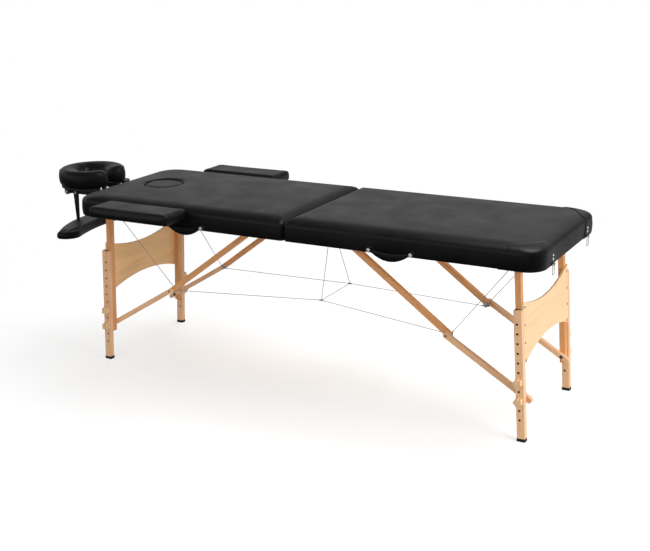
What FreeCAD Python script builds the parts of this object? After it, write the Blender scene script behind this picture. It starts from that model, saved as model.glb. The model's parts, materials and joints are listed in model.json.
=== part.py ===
"""Folding massage table: two padded sections on splayed beech legs, braced by folding struts and steel
cables, with a headrest, a hanging arm shelf, two side armrests and a plugged face opening.

Millimetres. +X runs to the foot end, -Y is the near side with the carry handles, +Z is up. The sizes are
laid out about the centre hinge on the floor, and the finished pieces are moved so that the origin is
under the middle of the whole table.
"""
import FreeCAD, Part
import math
import os

from FreeCAD import Vector

# Padded sections
TABLE_LENGTH = 1850.0
TABLE_WIDTH = 600.0
TABLE_HEIGHT = 680.0
SECTION_DEPTH = 83.0
SEAM_GAP = 1.0
COVER_THICKNESS = 3.0
END_CORNER_RADIUS = 65.0
SEAM_CORNER_RADIUS = 16.0
EDGE_ROUND = 27.0
SEAM_EDGE_SHARE = 0.55
CROWN = 3.0
CROWN_RUN = 95.0

# Wooden frame under the padding
RAIL_HEIGHT = 55.0
RAIL_THICKNESS = 18.0
DECK_THICKNESS = 5.0

# Face opening and its plug
FACE_HOLE_INSET = 201.0
FACE_HOLE_RADIUS = 77.0
FACE_LEDGE = 7.0
PLUG_CLEARANCE = 0.5
PLUG_SEAT_GAP = 0.2
PLUG_EDGE = 9.0

# Fits
RUNNING_CLEARANCE = 0.05
SIDE_CLEARANCE = 0.3

# Legs
LEG_SPLAY = 3.34
LEG_PIVOT_INSET = 101.1
LEG_PIVOT_RISE = 16.0
UPPER_LEG_INNER = 9.0
UPPER_LEG_DEPTH = 20.0
UPPER_LEG_WIDTH = 23.0
LEG_SIDE_INSET = 48.0
UPPER_LEG_LENGTH = 500.0
UPPER_LEG_HEAD = 10.0
LOWER_LEG_WIDTH = 20.0
LOWER_LEG_TOP = 162.0
FOOT_HEIGHT = 10.0
FOOT_MARGIN = 1.5
PEG_HOLE_FIRST = 208.5
PEG_HOLE_PITCH = 33.0
PEG_HOLE_MARGIN = 55.0
PEG_HOLE_SET = 2.0
KNOB_HOLES = (6, 8)

# Plywood end panel between the legs
END_PANEL_THICKNESS = 7.0
END_PANEL_TOP = 135.0
END_PANEL_BOTTOM = 351.0
END_PANEL_TOP_DIP = 42.0
END_PANEL_BOTTOM_RISE = 43.0
PANEL_SCREW_COUNT = 4
PANEL_SCREW_FIRST = 158.0
PANEL_SCREW_PITCH = 60.5
PANEL_SCREW_RADIUS = 2.0
PANEL_SCREW_LENGTH = 20.0
PANEL_SCREW_HEAD_RADIUS = 4.2
PANEL_SCREW_HEAD_HEIGHT = 1.0

# Studs, bolts and lobed knobs
STUD_RADIUS = 4.0
STUD_END = 16.0
STUD_HEAD_RADIUS = 6.5
STUD_HEAD_HEIGHT = 4.0
KNOB_RADIUS = 15.0
KNOB_HEIGHT = 18.0
KNOB_LOBES = 5
KNOB_NOTCH_RADIUS = 5.5
BOLT_RADIUS = 4.0
BOLT_HEAD_RADIUS = 7.0
BOLT_HEAD_HEIGHT = 3.6
BOLT_HOLD = 30.0

# Folding braces
BRACE_PIVOT_X = 145.9
BRACE_PIVOT_RISE = 28.0
UPPER_BRACE_DEPTH = 20.0
LOWER_BRACE_DEPTH = 18.0
BRACE_THICKNESS = 18.0
BRACE_SPARE_OPEN = 0.9
BRACE_FOLDED_RISE = 40.0
BRACE_END = 10.5
LOWER_BRACE_TIP = 30.0
PIVOT_BLOCK_HALF = 26.0
PIVOT_BLOCK_WIDTH = 44.0
PIVOT_BLOCK_HEIGHT = 50.0

# Cables and what they hook on
CABLE_RADIUS = 1.25
CABLE_POST_RADIUS = 3.0
CABLE_POST_LENGTH = 9.0
CABLE_POST_DROP = 7.5
CABLE_STEP = 3.0
BRACKET_THICKNESS = 3.0
BRACKET_HALF = 12.0
BRACKET_MARGIN = 3.4
BRACKET_HEAD_RADIUS = 5.5
BRACKET_HEAD_HEIGHT = 1.5
CABLE_EYE_RADIUS = 4.5
CABLE_EYE_SHANK = 2.2
CABLE_EYE_REACH = 8.0
CENTRE_EYE_RISE = 8.0
CABLE_BOLT_STUB = 11.0
CABLE_BOLT_CAP = 2.0
CABLE_WAIST_X = 43.0
CABLE_WAIST_Y = 112.0
CABLE_WAIST_DROP = 264.0
CRIMP_RADIUS = 3.5

# Centre hinges with a link between two pins
HINGE_OFFSET = 180.0
HINGE_WIDTH = 60.0
HINGE_DROP = 3.2
HINGE_PIN_SPACING = 8.4
HINGE_PIN_RADIUS = 1.5
HINGE_KNUCKLE_RADIUS = 3.0
HINGE_LEAF_LENGTH = 40.0
HINGE_LEAF_THICKNESS = 1.5
HINGE_LINK_WIDTH = 23.0
HINGE_LINK_GAP = 0.5
HINGE_WEB_THICKNESS = 3.0

# Carry handles on the near side
HANDLE_INNER_X = 339.0
HANDLE_SPAN = 149.0
HANDLE_RISE = 12.0
HANDLE_STAND_OFF = 6.5
HANDLE_THICKNESS = 9.0
HANDLE_ABOVE = 3.4
HANDLE_END_DEPTH = 11.0
HANDLE_DEPTH = 22.0
HANDLE_SAG = 15.0
HANDLE_PIN_RADIUS = 2.0
HANDLE_PIN_LENGTH = 8.0
HANDLE_PLATE_WIDTH = 22.0
HANDLE_PLATE_HEIGHT = 20.0
HANDLE_PLATE_THICKNESS = 1.5
HANDLE_EAR = 10.0

# Draw latches on the foot end and their catches on the head end
LATCH_OFFSET = 187.0
LATCH_WIDTH = 24.0
LATCH_HEIGHT = 42.0
LATCH_PLATE_THICKNESS = 2.0
LATCH_KNUCKLE_RADIUS = 3.6
LATCH_KNUCKLE_WIDTH = 12.0
LATCH_KNUCKLE_RISE = 4.0
LATCH_KNUCKLE_REACH = 5.5
BAIL_WIRE_RADIUS = 1.4
BAIL_WIDTH = 18.0
BAIL_LENGTH = 34.0
BAIL_CORNER = 2.5
CATCH_HEIGHT = 32.0
CATCH_REACH = 8.0
CATCH_LIP = 7.0

# Headrest
HEADREST_REACH = 163.0
HEADREST_RISE = 53.0
HEADREST_THICKNESS = 74.0
HEADREST_OUTER_RADIUS = 138.0
HEADREST_INNER_RADIUS = 48.0
HEADREST_END_GAP = 43.0
PLATFORM_THICKNESS = 8.0
PLATFORM_INSET = 12.0
PLATFORM_REST_GAP = 0.3
AXLE_REACH = 220.0
AXLE_RADIUS = 4.0
AXLE_DROP = 15.0
AXLE_CAP_RADIUS = 6.5
AXLE_CAP_LENGTH = 7.0
BASE_ARM_OFFSET = 70.0
BASE_ARM_THICKNESS = 14.0
BASE_ARM_DEPTH = 18.0
CROSS_PIECE_REACH = 60.0
CROSS_PIECE_LENGTH = 25.0
CROSS_PIECE_WIDTH = 190.0
CROSS_PIECE_DEPTH = 32.0
LUG_GAP = 1.0
LUG_THICKNESS = 12.0
LUG_HALF = 12.0
ROD_OFFSET = 77.0
ROD_RADIUS = 7.0
ROD_RISE = 25.0
ROD_INSERT = 55.0
ROD_HOLD = 20.0
COVER_HOLE_CLEARANCE = 0.8

# Arm shelf that hangs under the headrest
SHELF_DROP = 115.0
SHELF_THICKNESS = 30.0
SHELF_OUTER_MID_REACH = 217.0
SHELF_OUTER_END_REACH = 125.0
SHELF_OUTER_END_Y = 285.0
SHELF_INNER_MID_REACH = 94.0
SHELF_INNER_END_REACH = 53.0
SHELF_INNER_END_Y = 226.0
SHELF_TIP_REACH = 73.0
SHELF_TIP_Y = 275.0
SHELF_EDGE = 9.0
STRAP_REACH = 181.0
STRAP_PIN_DROP = 3.0
STRAP_PIN_RADIUS = 3.0
STRAP_PIN_HOLD = 12.0
STRAP_PIN_HEAD_RADIUS = 5.0
STRAP_PIN_HEAD_LENGTH = 3.0
STRAP_GAP = 1.0
STRAP_THICKNESS = 4.0
STRAP_TOP_WIDTH = 28.0
STRAP_END_WIDTH = 15.0

# Side armrests
ARMREST_INSET = 173.0
ARMREST_LENGTH = 354.0
ARMREST_WIDTH = 130.0
ARMREST_GAP = 0.6
ARMREST_RISE = 37.0
ARMREST_THICKNESS = 41.0
ARMREST_CORNER = 16.0
ARMREST_EDGE = 11.0
ARMREST_PIN_RADIUS = 4.5
ARMREST_PIN_INSET = 72.0
ARMREST_PIN_HOLD = 30.0
ARMREST_PIN_RISE = 7.0

# Levels and faces that follow from the sizes above
UNDERSIDE = TABLE_HEIGHT - SECTION_DEPTH
HALF_LENGTH = TABLE_LENGTH / 2
HALF_WIDTH = TABLE_WIDTH / 2
HEAD_END_X = -HALF_LENGTH
SEAM_X = SEAM_GAP / 2
DECK_BOTTOM = UNDERSIDE + RAIL_HEIGHT
DECK_TOP = DECK_BOTTOM + DECK_THICKNESS
RAIL_INSET = COVER_THICKNESS + RAIL_THICKNESS
RAIL_FACE_Y = HALF_WIDTH - RAIL_INSET
X_AXIS = Vector(1, 0, 0)
Y_AXIS = Vector(0, 1, 0)
Z_AXIS = Vector(0, 0, 1)
ORIGIN = Vector(0, 0, 0)


# General shapes

def box(x0, x1, y0, y1, z0, z1):
    return Part.makeBox(x1 - x0, y1 - y0, z1 - z0, Vector(x0, y0, z0))


def rod(start, end, radius):
    """Round bar between two points."""
    run = end - start
    return Part.makeCylinder(radius, run.Length, start, run)


def ball(centre, radius):
    return Part.makeSphere(radius, centre)


def cross_rod(x, z, y0, y1, radius):
    """Round bar along Y."""
    return rod(Vector(x, y0, z), Vector(x, y1, z), radius)


def joined(shapes):
    return shapes[0].fuse(shapes[1:]).removeSplitter()


def group(shapes):
    return Part.makeCompound(shapes)


def far_and_near(shape):
    """The shape as built on the far side and its mirror image on the near side."""
    return [shape, near(shape)]


def near(shape):
    return shape.mirror(ORIGIN, Y_AXIS)


def to_head(shape):
    return shape.mirror(ORIGIN, X_AXIS)


def closed_wire(edges):
    return Part.Wire(Part.__sortEdges__(edges))


def line(a, b):
    return Part.LineSegment(a, b).toShape()


def arc(a, middle, b):
    return Part.Arc(a, middle, b).toShape()


def corner_arc(centre, radius, start_angle):
    """Quarter circle in a level plane."""
    points = []
    for turn in (0, 45, 90):
        angle = math.radians(start_angle + turn)
        points.append(centre + Vector(radius * math.cos(angle), radius * math.sin(angle), 0))
    return arc(*points)


def rounded_outline(x0, x1, y0, y1, z, radius_low_x, radius_high_x):
    """Level rectangle with one corner radius at its low X end and another at its high X end."""
    a, b = radius_low_x, radius_high_x
    return Part.Wire([
        line(Vector(x0 + a, y0, z), Vector(x1 - b, y0, z)),
        corner_arc(Vector(x1 - b, y0 + b, z), b, -90),
        line(Vector(x1, y0 + b, z), Vector(x1, y1 - b, z)),
        corner_arc(Vector(x1 - b, y1 - b, z), b, 0),
        line(Vector(x1 - b, y1, z), Vector(x0 + a, y1, z)),
        corner_arc(Vector(x0 + a, y1 - a, z), a, 90),
        line(Vector(x0, y1 - a, z), Vector(x0, y0 + a, z)),
        corner_arc(Vector(x0 + a, y0 + a, z), a, 180),
    ])


def prism(outline, height):
    return Part.Face(outline).extrude(Vector(0, 0, height))


def slab(start, end, half_depth, end_extra, start_extra, y0, y1):
    """Flat bar with round ends, lying in an XZ plane from start to end and past both by the extras."""
    along = (end - start).normalize()
    up = Vector(-along.z, 0, along.x)
    first = start - along * (start_extra - half_depth)
    last = end + along * (end_extra - half_depth)
    outline = closed_wire([
        line(first + up * half_depth, last + up * half_depth),
        arc(last + up * half_depth, last + along * half_depth, last - up * half_depth),
        line(last - up * half_depth, first - up * half_depth),
        arc(first - up * half_depth, first - along * half_depth, first + up * half_depth),
    ])
    bar = Part.Face(outline).extrude(Vector(0, y1 - y0, 0))
    return bar.translated(Vector(0, y0, 0))


# Padded sections and their frames, laid out on the foot side

def section_outline(inset, z, radius_loss):
    return rounded_outline(
        SEAM_X + inset * SEAM_EDGE_SHARE, HALF_LENGTH - inset,
        inset - HALF_WIDTH, HALF_WIDTH - inset, z,
        max(SEAM_CORNER_RADIUS - radius_loss, SEAM_CORNER_RADIUS / 3),
        END_CORNER_RADIUS - radius_loss,
    )


def cover_outline(inset, z):
    """Outline inside the cover, the same distance in on all sides."""
    return rounded_outline(
        SEAM_X + inset, HALF_LENGTH - inset, inset - HALF_WIDTH, HALF_WIDTH - inset, z,
        max(SEAM_CORNER_RADIUS - inset, SEAM_CORNER_RADIUS / 3), END_CORNER_RADIUS - inset,
    )


def section_pad():
    """Foam and cover: a round-edged, slightly crowned slab with a skirt down over the rails."""
    edge_top = TABLE_HEIGHT - CROWN
    shoulder = edge_top - EDGE_ROUND
    outlines = [section_outline(0, UNDERSIDE, 0)]
    for angle in (0, 25, 50, 72, 90):
        turn = math.radians(angle)
        inset = EDGE_ROUND * (1 - math.cos(turn))
        outlines.append(section_outline(inset, shoulder + EDGE_ROUND * math.sin(turn), inset / 2))
    for share in (0.45, 1.0):
        rise = CROWN * (1 - (1 - share) ** 2)
        inset = EDGE_ROUND + CROWN_RUN * share
        outlines.append(section_outline(inset, edge_top + rise, EDGE_ROUND / 2))
    body = Part.makeLoft(outlines, True, True)
    hollow = prism(cover_outline(COVER_THICKNESS, UNDERSIDE), DECK_TOP - UNDERSIDE)
    return body.cut(hollow)


def section_deck():
    return prism(cover_outline(COVER_THICKNESS, DECK_BOTTOM), DECK_THICKNESS)


def section_rails():
    """Side rails, end rail, seam rail and two corner blocks as separate pieces."""
    outer = prism(cover_outline(COVER_THICKNESS, UNDERSIDE), RAIL_HEIGHT)
    ring = outer.cut(prism(cover_outline(RAIL_INSET, UNDERSIDE), RAIL_HEIGHT))
    top = UNDERSIDE + RAIL_HEIGHT
    corner_x = HALF_LENGTH - END_CORNER_RADIUS
    corner_y = HALF_WIDTH - END_CORNER_RADIUS
    seam_rail_x = SEAM_X + RAIL_INSET
    blocks = [
        box(0, seam_rail_x, -HALF_WIDTH, HALF_WIDTH, UNDERSIDE, top),
        box(corner_x, HALF_LENGTH, -corner_y, corner_y, UNDERSIDE, top),
    ]
    for side in (-1, 1):
        y0, y1 = sorted((side * corner_y, side * HALF_WIDTH))
        blocks.append(box(corner_x, HALF_LENGTH, y0, y1, UNDERSIDE, top))
        y0, y1 = sorted((side * (RAIL_FACE_Y - RAIL_THICKNESS), side * HALF_WIDTH))
        blocks.append(box(seam_rail_x, corner_x, y0, y1, UNDERSIDE, top))
    return [ring.common(block) for block in blocks]


# Leg set, laid out upright with its pivot at the origin, then swung out to its splay

LEG_PIVOT = Vector(HALF_LENGTH - LEG_PIVOT_INSET, 0, UNDERSIDE + LEG_PIVOT_RISE)
BRACE_PIVOT = Vector(BRACE_PIVOT_X, 0, UNDERSIDE + BRACE_PIVOT_RISE)
UPPER_LEG_OUTER = UPPER_LEG_DEPTH - UPPER_LEG_INNER
LEG_OUTER = UPPER_LEG_OUTER + END_PANEL_THICKNESS
LEG_FACE_Y = HALF_WIDTH - LEG_SIDE_INSET
LOWER_LEG_OFFSET = LEG_FACE_Y - LOWER_LEG_WIDTH
UPPER_LEG_OFFSET = LOWER_LEG_OFFSET - UPPER_LEG_WIDTH
LEG_FOLD = 90.0 + LEG_SPLAY
LOWER_LEG_END = (LEG_PIVOT.z - FOOT_HEIGHT) / math.cos(math.radians(LEG_SPLAY))
PEG_HOLE_COUNT = 1 + int((LOWER_LEG_END - PEG_HOLE_MARGIN - PEG_HOLE_FIRST) / PEG_HOLE_PITCH)


def peg_hole_drop(index):
    return PEG_HOLE_FIRST + index * PEG_HOLE_PITCH


def splayed(shape):
    """From the upright layout about the pivot to the leg's place on the foot section."""
    return shape.rotated(ORIGIN, Y_AXIS, -LEG_SPLAY).translated(LEG_PIVOT)


def leg_point(out, drop):
    """A point of the standing leg set, by its distance out from and down from the pivot."""
    angle = math.radians(LEG_SPLAY)
    across = Vector(math.cos(angle), 0, math.sin(angle))
    down = Vector(math.sin(angle), 0, -math.cos(angle))
    return LEG_PIVOT + across * out + down * drop


def folded_leg_point(out, drop):
    return LEG_PIVOT + Vector(-drop, 0, -out)


def upper_leg():
    leg = box(-UPPER_LEG_INNER, UPPER_LEG_OUTER, UPPER_LEG_OFFSET, LOWER_LEG_OFFSET,
              -UPPER_LEG_LENGTH, UPPER_LEG_HEAD)
    top_edges = []
    for edge in leg.Edges:
        spans = edge.BoundBox
        if spans.ZMin > UPPER_LEG_HEAD - SIDE_CLEARANCE and spans.YLength > UPPER_LEG_WIDTH / 2:
            top_edges.append(edge)
    leg = leg.makeFillet(UPPER_LEG_HEAD * 0.8, top_edges)
    holes = [cross_rod(0, 0, UPPER_LEG_OFFSET, LOWER_LEG_OFFSET, BOLT_RADIUS + RUNNING_CLEARANCE)]
    holes += [panel_screw(index) for index in range(PANEL_SCREW_COUNT)]
    holes += [leg_stud(index) for index in KNOB_HOLES]
    return leg.cut(holes)


def panel_screw(index):
    y = UPPER_LEG_OFFSET + UPPER_LEG_WIDTH / 2
    z = -(PANEL_SCREW_FIRST + index * PANEL_SCREW_PITCH)
    head_start = Vector(LEG_OUTER, y, z)
    head = rod(head_start, head_start + X_AXIS * PANEL_SCREW_HEAD_HEIGHT, PANEL_SCREW_HEAD_RADIUS)
    shank = rod(head_start - X_AXIS * PANEL_SCREW_LENGTH, head_start, PANEL_SCREW_RADIUS)
    return joined([head, shank])


def leg_stud(index):
    """Stud through the legs. The lower one also carries the brace, with its head let into the brace."""
    z = -peg_hole_drop(index)
    blind_start = UPPER_LEG_OFFSET + UPPER_LEG_WIDTH / 6
    end = LEG_FACE_Y + STUD_END
    if index != KNOB_HOLES[-1]:
        return cross_rod(PEG_HOLE_SET, z, blind_start, end, STUD_RADIUS)
    inner = UPPER_LEG_OFFSET - BRACE_THICKNESS + 2 * SIDE_CLEARANCE
    shank = cross_rod(PEG_HOLE_SET, z, inner, end, STUD_RADIUS)
    head = cross_rod(PEG_HOLE_SET, z, inner, inner + STUD_HEAD_HEIGHT, STUD_HEAD_RADIUS)
    return joined([shank, head])


def end_panel():
    """Plywood panel between the legs, with hollowed top and bottom edges."""
    half = LOWER_LEG_OFFSET - SIDE_CLEARANCE
    x = UPPER_LEG_OUTER
    top, bottom = -END_PANEL_TOP, -END_PANEL_BOTTOM
    outline = closed_wire([
        arc(Vector(x, -half, top), Vector(x, 0, top - END_PANEL_TOP_DIP), Vector(x, half, top)),
        line(Vector(x, half, top), Vector(x, half, bottom)),
        arc(Vector(x, half, bottom), Vector(x, 0, bottom + END_PANEL_BOTTOM_RISE), Vector(x, -half, bottom)),
        line(Vector(x, -half, bottom), Vector(x, -half, top)),
    ])
    panel = Part.Face(outline).extrude(Vector(END_PANEL_THICKNESS, 0, 0))
    screws = []
    for index in range(PANEL_SCREW_COUNT):
        screws += far_and_near(panel_screw(index))
    return panel.cut(screws)


def lower_leg():
    """Pegged lower leg, standing: cut level above its rubber foot."""
    length = LEG_PIVOT.z + LEG_OUTER
    leg = box(-UPPER_LEG_INNER, LEG_OUTER, LOWER_LEG_OFFSET, LEG_FACE_Y, -length, -LOWER_LEG_TOP)
    holes = []
    for index in range(PEG_HOLE_COUNT):
        holes.append(cross_rod(PEG_HOLE_SET, -peg_hole_drop(index), LOWER_LEG_OFFSET, LEG_FACE_Y,
                               STUD_RADIUS + RUNNING_CLEARANCE))
    leg = splayed(leg.cut(holes))
    below = leg.BoundBox
    below.enlarge(FOOT_MARGIN)
    return leg.cut(box(below.XMin, below.XMax, below.YMin, below.YMax, below.ZMin, FOOT_HEIGHT))


def rubber_foot(leg):
    """Square rubber shoe under a lower leg, a little wider than the leg."""
    sole = [edge.BoundBox for edge in leg.Edges if edge.BoundBox.ZMax < FOOT_HEIGHT + SIDE_CLEARANCE]
    x0 = min(part.XMin for part in sole) - FOOT_MARGIN
    x1 = max(part.XMax for part in sole) + FOOT_MARGIN
    foot = box(x0, x1, LOWER_LEG_OFFSET - FOOT_MARGIN, LEG_FACE_Y + FOOT_MARGIN, 0, FOOT_HEIGHT)
    upright = [edge for edge in foot.Edges if edge.BoundBox.ZLength > FOOT_HEIGHT / 2]
    return foot.makeFillet(2 * FOOT_MARGIN, upright)


def knob(index):
    """Lobed wooden hand nut on a stud, against the outside of the lower leg."""
    z = -peg_hole_drop(index)
    start = LEG_FACE_Y + SIDE_CLEARANCE
    body = cross_rod(PEG_HOLE_SET, z, start, start + KNOB_HEIGHT, KNOB_RADIUS)
    cuts = [cross_rod(PEG_HOLE_SET, z, start, LEG_FACE_Y + STUD_END + SIDE_CLEARANCE,
                      STUD_RADIUS + RUNNING_CLEARANCE)]
    for lobe in range(KNOB_LOBES):
        angle = math.radians(360.0 * lobe / KNOB_LOBES)
        reach = KNOB_RADIUS + KNOB_NOTCH_RADIUS / 3
        cuts.append(cross_rod(PEG_HOLE_SET + reach * math.cos(angle), z + reach * math.sin(angle),
                              start, start + KNOB_HEIGHT, KNOB_NOTCH_RADIUS))
    return body.cut(cuts)


# Folding braces: their lengths let them lie straight along the folded leg

def circle_meeting(a, a_radius, b, b_radius, side):
    """Where two circles in an XZ plane meet, on the upper (1) or lower (-1) side of the line from a to b."""
    run = b - a
    span = run.Length
    along = Vector(run).normalize()
    up = Vector(-along.z, 0, along.x)
    reach = (a_radius ** 2 - b_radius ** 2 + span ** 2) / (2 * span)
    return a + along * reach + up * (side * math.sqrt(a_radius ** 2 - reach ** 2))


def folded_brace_joint(brace_sum):
    """Where the folded struts meet, at the stated height, when their lengths add up to the sum."""
    low, high = STRUT_PIVOT_FOLDED.x, LEG_PIVOT.x
    for step in range(60):
        joint = Vector((low + high) / 2, 0, UNDERSIDE + BRACE_FOLDED_RISE)
        if (joint - BRACE_PIVOT).Length + (joint - STRUT_PIVOT_FOLDED).Length < brace_sum:
            low = joint.x
        else:
            high = joint.x
    return joint


STRUT_PIVOT = leg_point(PEG_HOLE_SET, peg_hole_drop(KNOB_HOLES[-1]))
STRUT_PIVOT_FOLDED = folded_leg_point(PEG_HOLE_SET, peg_hole_drop(KNOB_HOLES[-1]))
BRACE_SUM = (STRUT_PIVOT - BRACE_PIVOT).Length + BRACE_SPARE_OPEN
BRACE_JOINT_FOLDED = folded_brace_joint(BRACE_SUM)
UPPER_BRACE_LENGTH = (BRACE_JOINT_FOLDED - BRACE_PIVOT).Length
LOWER_BRACE_LENGTH = (BRACE_JOINT_FOLDED - STRUT_PIVOT_FOLDED).Length
BRACE_JOINT = circle_meeting(BRACE_PIVOT, UPPER_BRACE_LENGTH, STRUT_PIVOT, LOWER_BRACE_LENGTH, -1)


LOWER_BRACE_Y = UPPER_LEG_OFFSET - BRACE_THICKNESS
UPPER_BRACE_Y = LOWER_BRACE_Y - BRACE_THICKNESS
BRACKET_Y = UPPER_BRACE_Y - BRACKET_THICKNESS
CABLE_POST = BRACE_JOINT - Vector(0, 0, CABLE_POST_DROP)


def upper_brace():
    bar = slab(BRACE_PIVOT, BRACE_JOINT, UPPER_BRACE_DEPTH / 2, BRACE_END, BRACE_END,
               UPPER_BRACE_Y, LOWER_BRACE_Y)
    pivot_hole = cross_rod(BRACE_PIVOT.x, BRACE_PIVOT.z, UPPER_BRACE_Y, LOWER_BRACE_Y,
                           BOLT_RADIUS + RUNNING_CLEARANCE)
    joint_hole = cross_rod(BRACE_JOINT.x, BRACE_JOINT.z, UPPER_BRACE_Y, LOWER_BRACE_Y, BOLT_RADIUS)
    return bar.cut([pivot_hole, joint_hole])


def lower_brace():
    """Lower strut on the leg's inner face, with an open hole where the linkage's last bolt goes."""
    y0 = LOWER_BRACE_Y + SIDE_CLEARANCE
    y1 = UPPER_LEG_OFFSET - SIDE_CLEARANCE
    bar = slab(STRUT_PIVOT, BRACE_JOINT, LOWER_BRACE_DEPTH / 2, BRACE_END, LOWER_BRACE_TIP, y0, y1)
    stud_hole = cross_rod(STRUT_PIVOT.x, STRUT_PIVOT.z, y0, y1, STUD_RADIUS + RUNNING_CLEARANCE)
    head_room = cross_rod(STRUT_PIVOT.x, STRUT_PIVOT.z, y0,
                          LOWER_BRACE_Y + STUD_HEAD_HEIGHT + 3 * SIDE_CLEARANCE,
                          STUD_HEAD_RADIUS + SIDE_CLEARANCE)
    open_hole = cross_rod(BRACE_JOINT.x, BRACE_JOINT.z, y0, y1, BOLT_RADIUS + SIDE_CLEARANCE)
    return bar.cut([stud_hole, head_room, open_hole])


def brace_bracket():
    """Steel plate, bolt and cable post on the lower end of the upper brace."""
    plate = box(BRACE_JOINT.x - BRACKET_HALF, BRACE_JOINT.x + BRACKET_HALF, BRACKET_Y, UPPER_BRACE_Y,
                CABLE_POST.z - BRACKET_MARGIN, BRACE_JOINT.z + BRACKET_MARGIN)
    bolt = cross_rod(BRACE_JOINT.x, BRACE_JOINT.z, BRACKET_Y, LOWER_BRACE_Y - SIDE_CLEARANCE, BOLT_RADIUS)
    head = cross_rod(BRACE_JOINT.x, BRACE_JOINT.z, BRACKET_Y - BRACKET_HEAD_HEIGHT, BRACKET_Y,
                     BRACKET_HEAD_RADIUS)
    post = cross_rod(CABLE_POST.x, CABLE_POST.z, BRACKET_Y - CABLE_POST_LENGTH, BRACKET_Y, CABLE_POST_RADIUS)
    return joined([plate, bolt, head, post])


# Fittings fixed to the frames

def leg_pivot_block():
    y0 = LOWER_LEG_OFFSET + SIDE_CLEARANCE
    block = box(LEG_PIVOT.x - PIVOT_BLOCK_HALF, LEG_PIVOT.x + PIVOT_BLOCK_HALF, y0, RAIL_FACE_Y,
                DECK_BOTTOM - PIVOT_BLOCK_HEIGHT, DECK_BOTTOM)
    return block.cut(leg_pivot_bolt())


def leg_pivot_bolt():
    """Bolt in the pivot block, with a capped stub inside the leg that holds a diagonal cable."""
    head_y = UPPER_LEG_OFFSET - SIDE_CLEARANCE
    stub_y = head_y - BOLT_HEAD_HEIGHT
    end_y = stub_y - CABLE_BOLT_STUB
    head = cross_rod(LEG_PIVOT.x, LEG_PIVOT.z, stub_y, head_y, BOLT_HEAD_RADIUS)
    shank = cross_rod(LEG_PIVOT.x, LEG_PIVOT.z, head_y, LOWER_LEG_OFFSET + BOLT_HOLD, BOLT_RADIUS)
    stub = cross_rod(LEG_PIVOT.x, LEG_PIVOT.z, end_y, stub_y, CABLE_POST_RADIUS)
    cap = cross_rod(LEG_PIVOT.x, LEG_PIVOT.z, end_y - CABLE_BOLT_CAP, end_y, BOLT_HEAD_RADIUS)
    return joined([head, shank, stub, cap])


def brace_pivot_block():
    y1 = UPPER_BRACE_Y - SIDE_CLEARANCE
    block = box(BRACE_PIVOT.x - PIVOT_BLOCK_HALF, BRACE_PIVOT.x + PIVOT_BLOCK_HALF,
                y1 - PIVOT_BLOCK_WIDTH, y1, DECK_BOTTOM - PIVOT_BLOCK_HEIGHT, DECK_BOTTOM)
    return block.cut(brace_pivot_bolt())


def brace_pivot_bolt():
    head_y = LOWER_BRACE_Y + SIDE_CLEARANCE
    head = cross_rod(BRACE_PIVOT.x, BRACE_PIVOT.z, head_y, head_y + BOLT_HEAD_HEIGHT, BOLT_HEAD_RADIUS)
    shank = cross_rod(BRACE_PIVOT.x, BRACE_PIVOT.z, UPPER_BRACE_Y - BOLT_HOLD, head_y, BOLT_RADIUS)
    return joined([head, shank])


DIAGONAL_Y = BRACKET_Y - CABLE_POST_LENGTH + CABLE_STEP / 2
SIDE_CABLE_Y = DIAGONAL_Y + CABLE_STEP
DIAGONAL_TOP_Y = UPPER_LEG_OFFSET - SIDE_CLEARANCE - BOLT_HEAD_HEIGHT - CABLE_BOLT_STUB / 2
DIAGONAL_TOP = Vector(LEG_PIVOT.x, DIAGONAL_TOP_Y, LEG_PIVOT.z)
CENTRE_EYE = Vector(SEAM_X + RAIL_INSET + CABLE_EYE_REACH, 0, UNDERSIDE + CENTRE_EYE_RISE)
CABLE_WAIST = Vector(CABLE_WAIST_X, CABLE_WAIST_Y, UNDERSIDE - CABLE_WAIST_DROP)


def screw_eye(seat, eye):
    """Ball-ended screw that a cable is crimped to."""
    return joined([rod(seat, eye, CABLE_EYE_SHANK), ball(eye, CABLE_EYE_RADIUS)])


def cable(start, end, start_clear, end_clear):
    """Taut cable between two points, stopping short of each by the clearance around what holds it."""
    along = (end - start).normalize()
    return rod(start + along * start_clear, end - along * end_clear, CABLE_RADIUS)


def hinge_leaf(y):
    """Screwed leaf with two outer knuckles and the pin that they hold, on the foot section."""
    axis_z = UNDERSIDE - HINGE_DROP
    half = HINGE_WIDTH / 2
    link_half = HINGE_LINK_WIDTH / 2 + HINGE_LINK_GAP
    x = HINGE_PIN_SPACING / 2
    plate = box(x, HINGE_LEAF_LENGTH, y - half, y + half, UNDERSIDE - HINGE_LEAF_THICKNESS, UNDERSIDE)
    notch = box(0, x + HINGE_KNUCKLE_RADIUS + HINGE_LINK_GAP, y - link_half, y + link_half,
                axis_z - HINGE_KNUCKLE_RADIUS, UNDERSIDE)
    knuckles = []
    for start, end in ((y - half, y - link_half), (y + link_half, y + half)):
        knuckles.append(cross_rod(x, axis_z, start, end, HINGE_KNUCKLE_RADIUS))
    pin = cross_rod(x, axis_z, y - half, y + half, HINGE_PIN_RADIUS)
    return joined([plate.cut(notch)] + knuckles + [pin])


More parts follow.
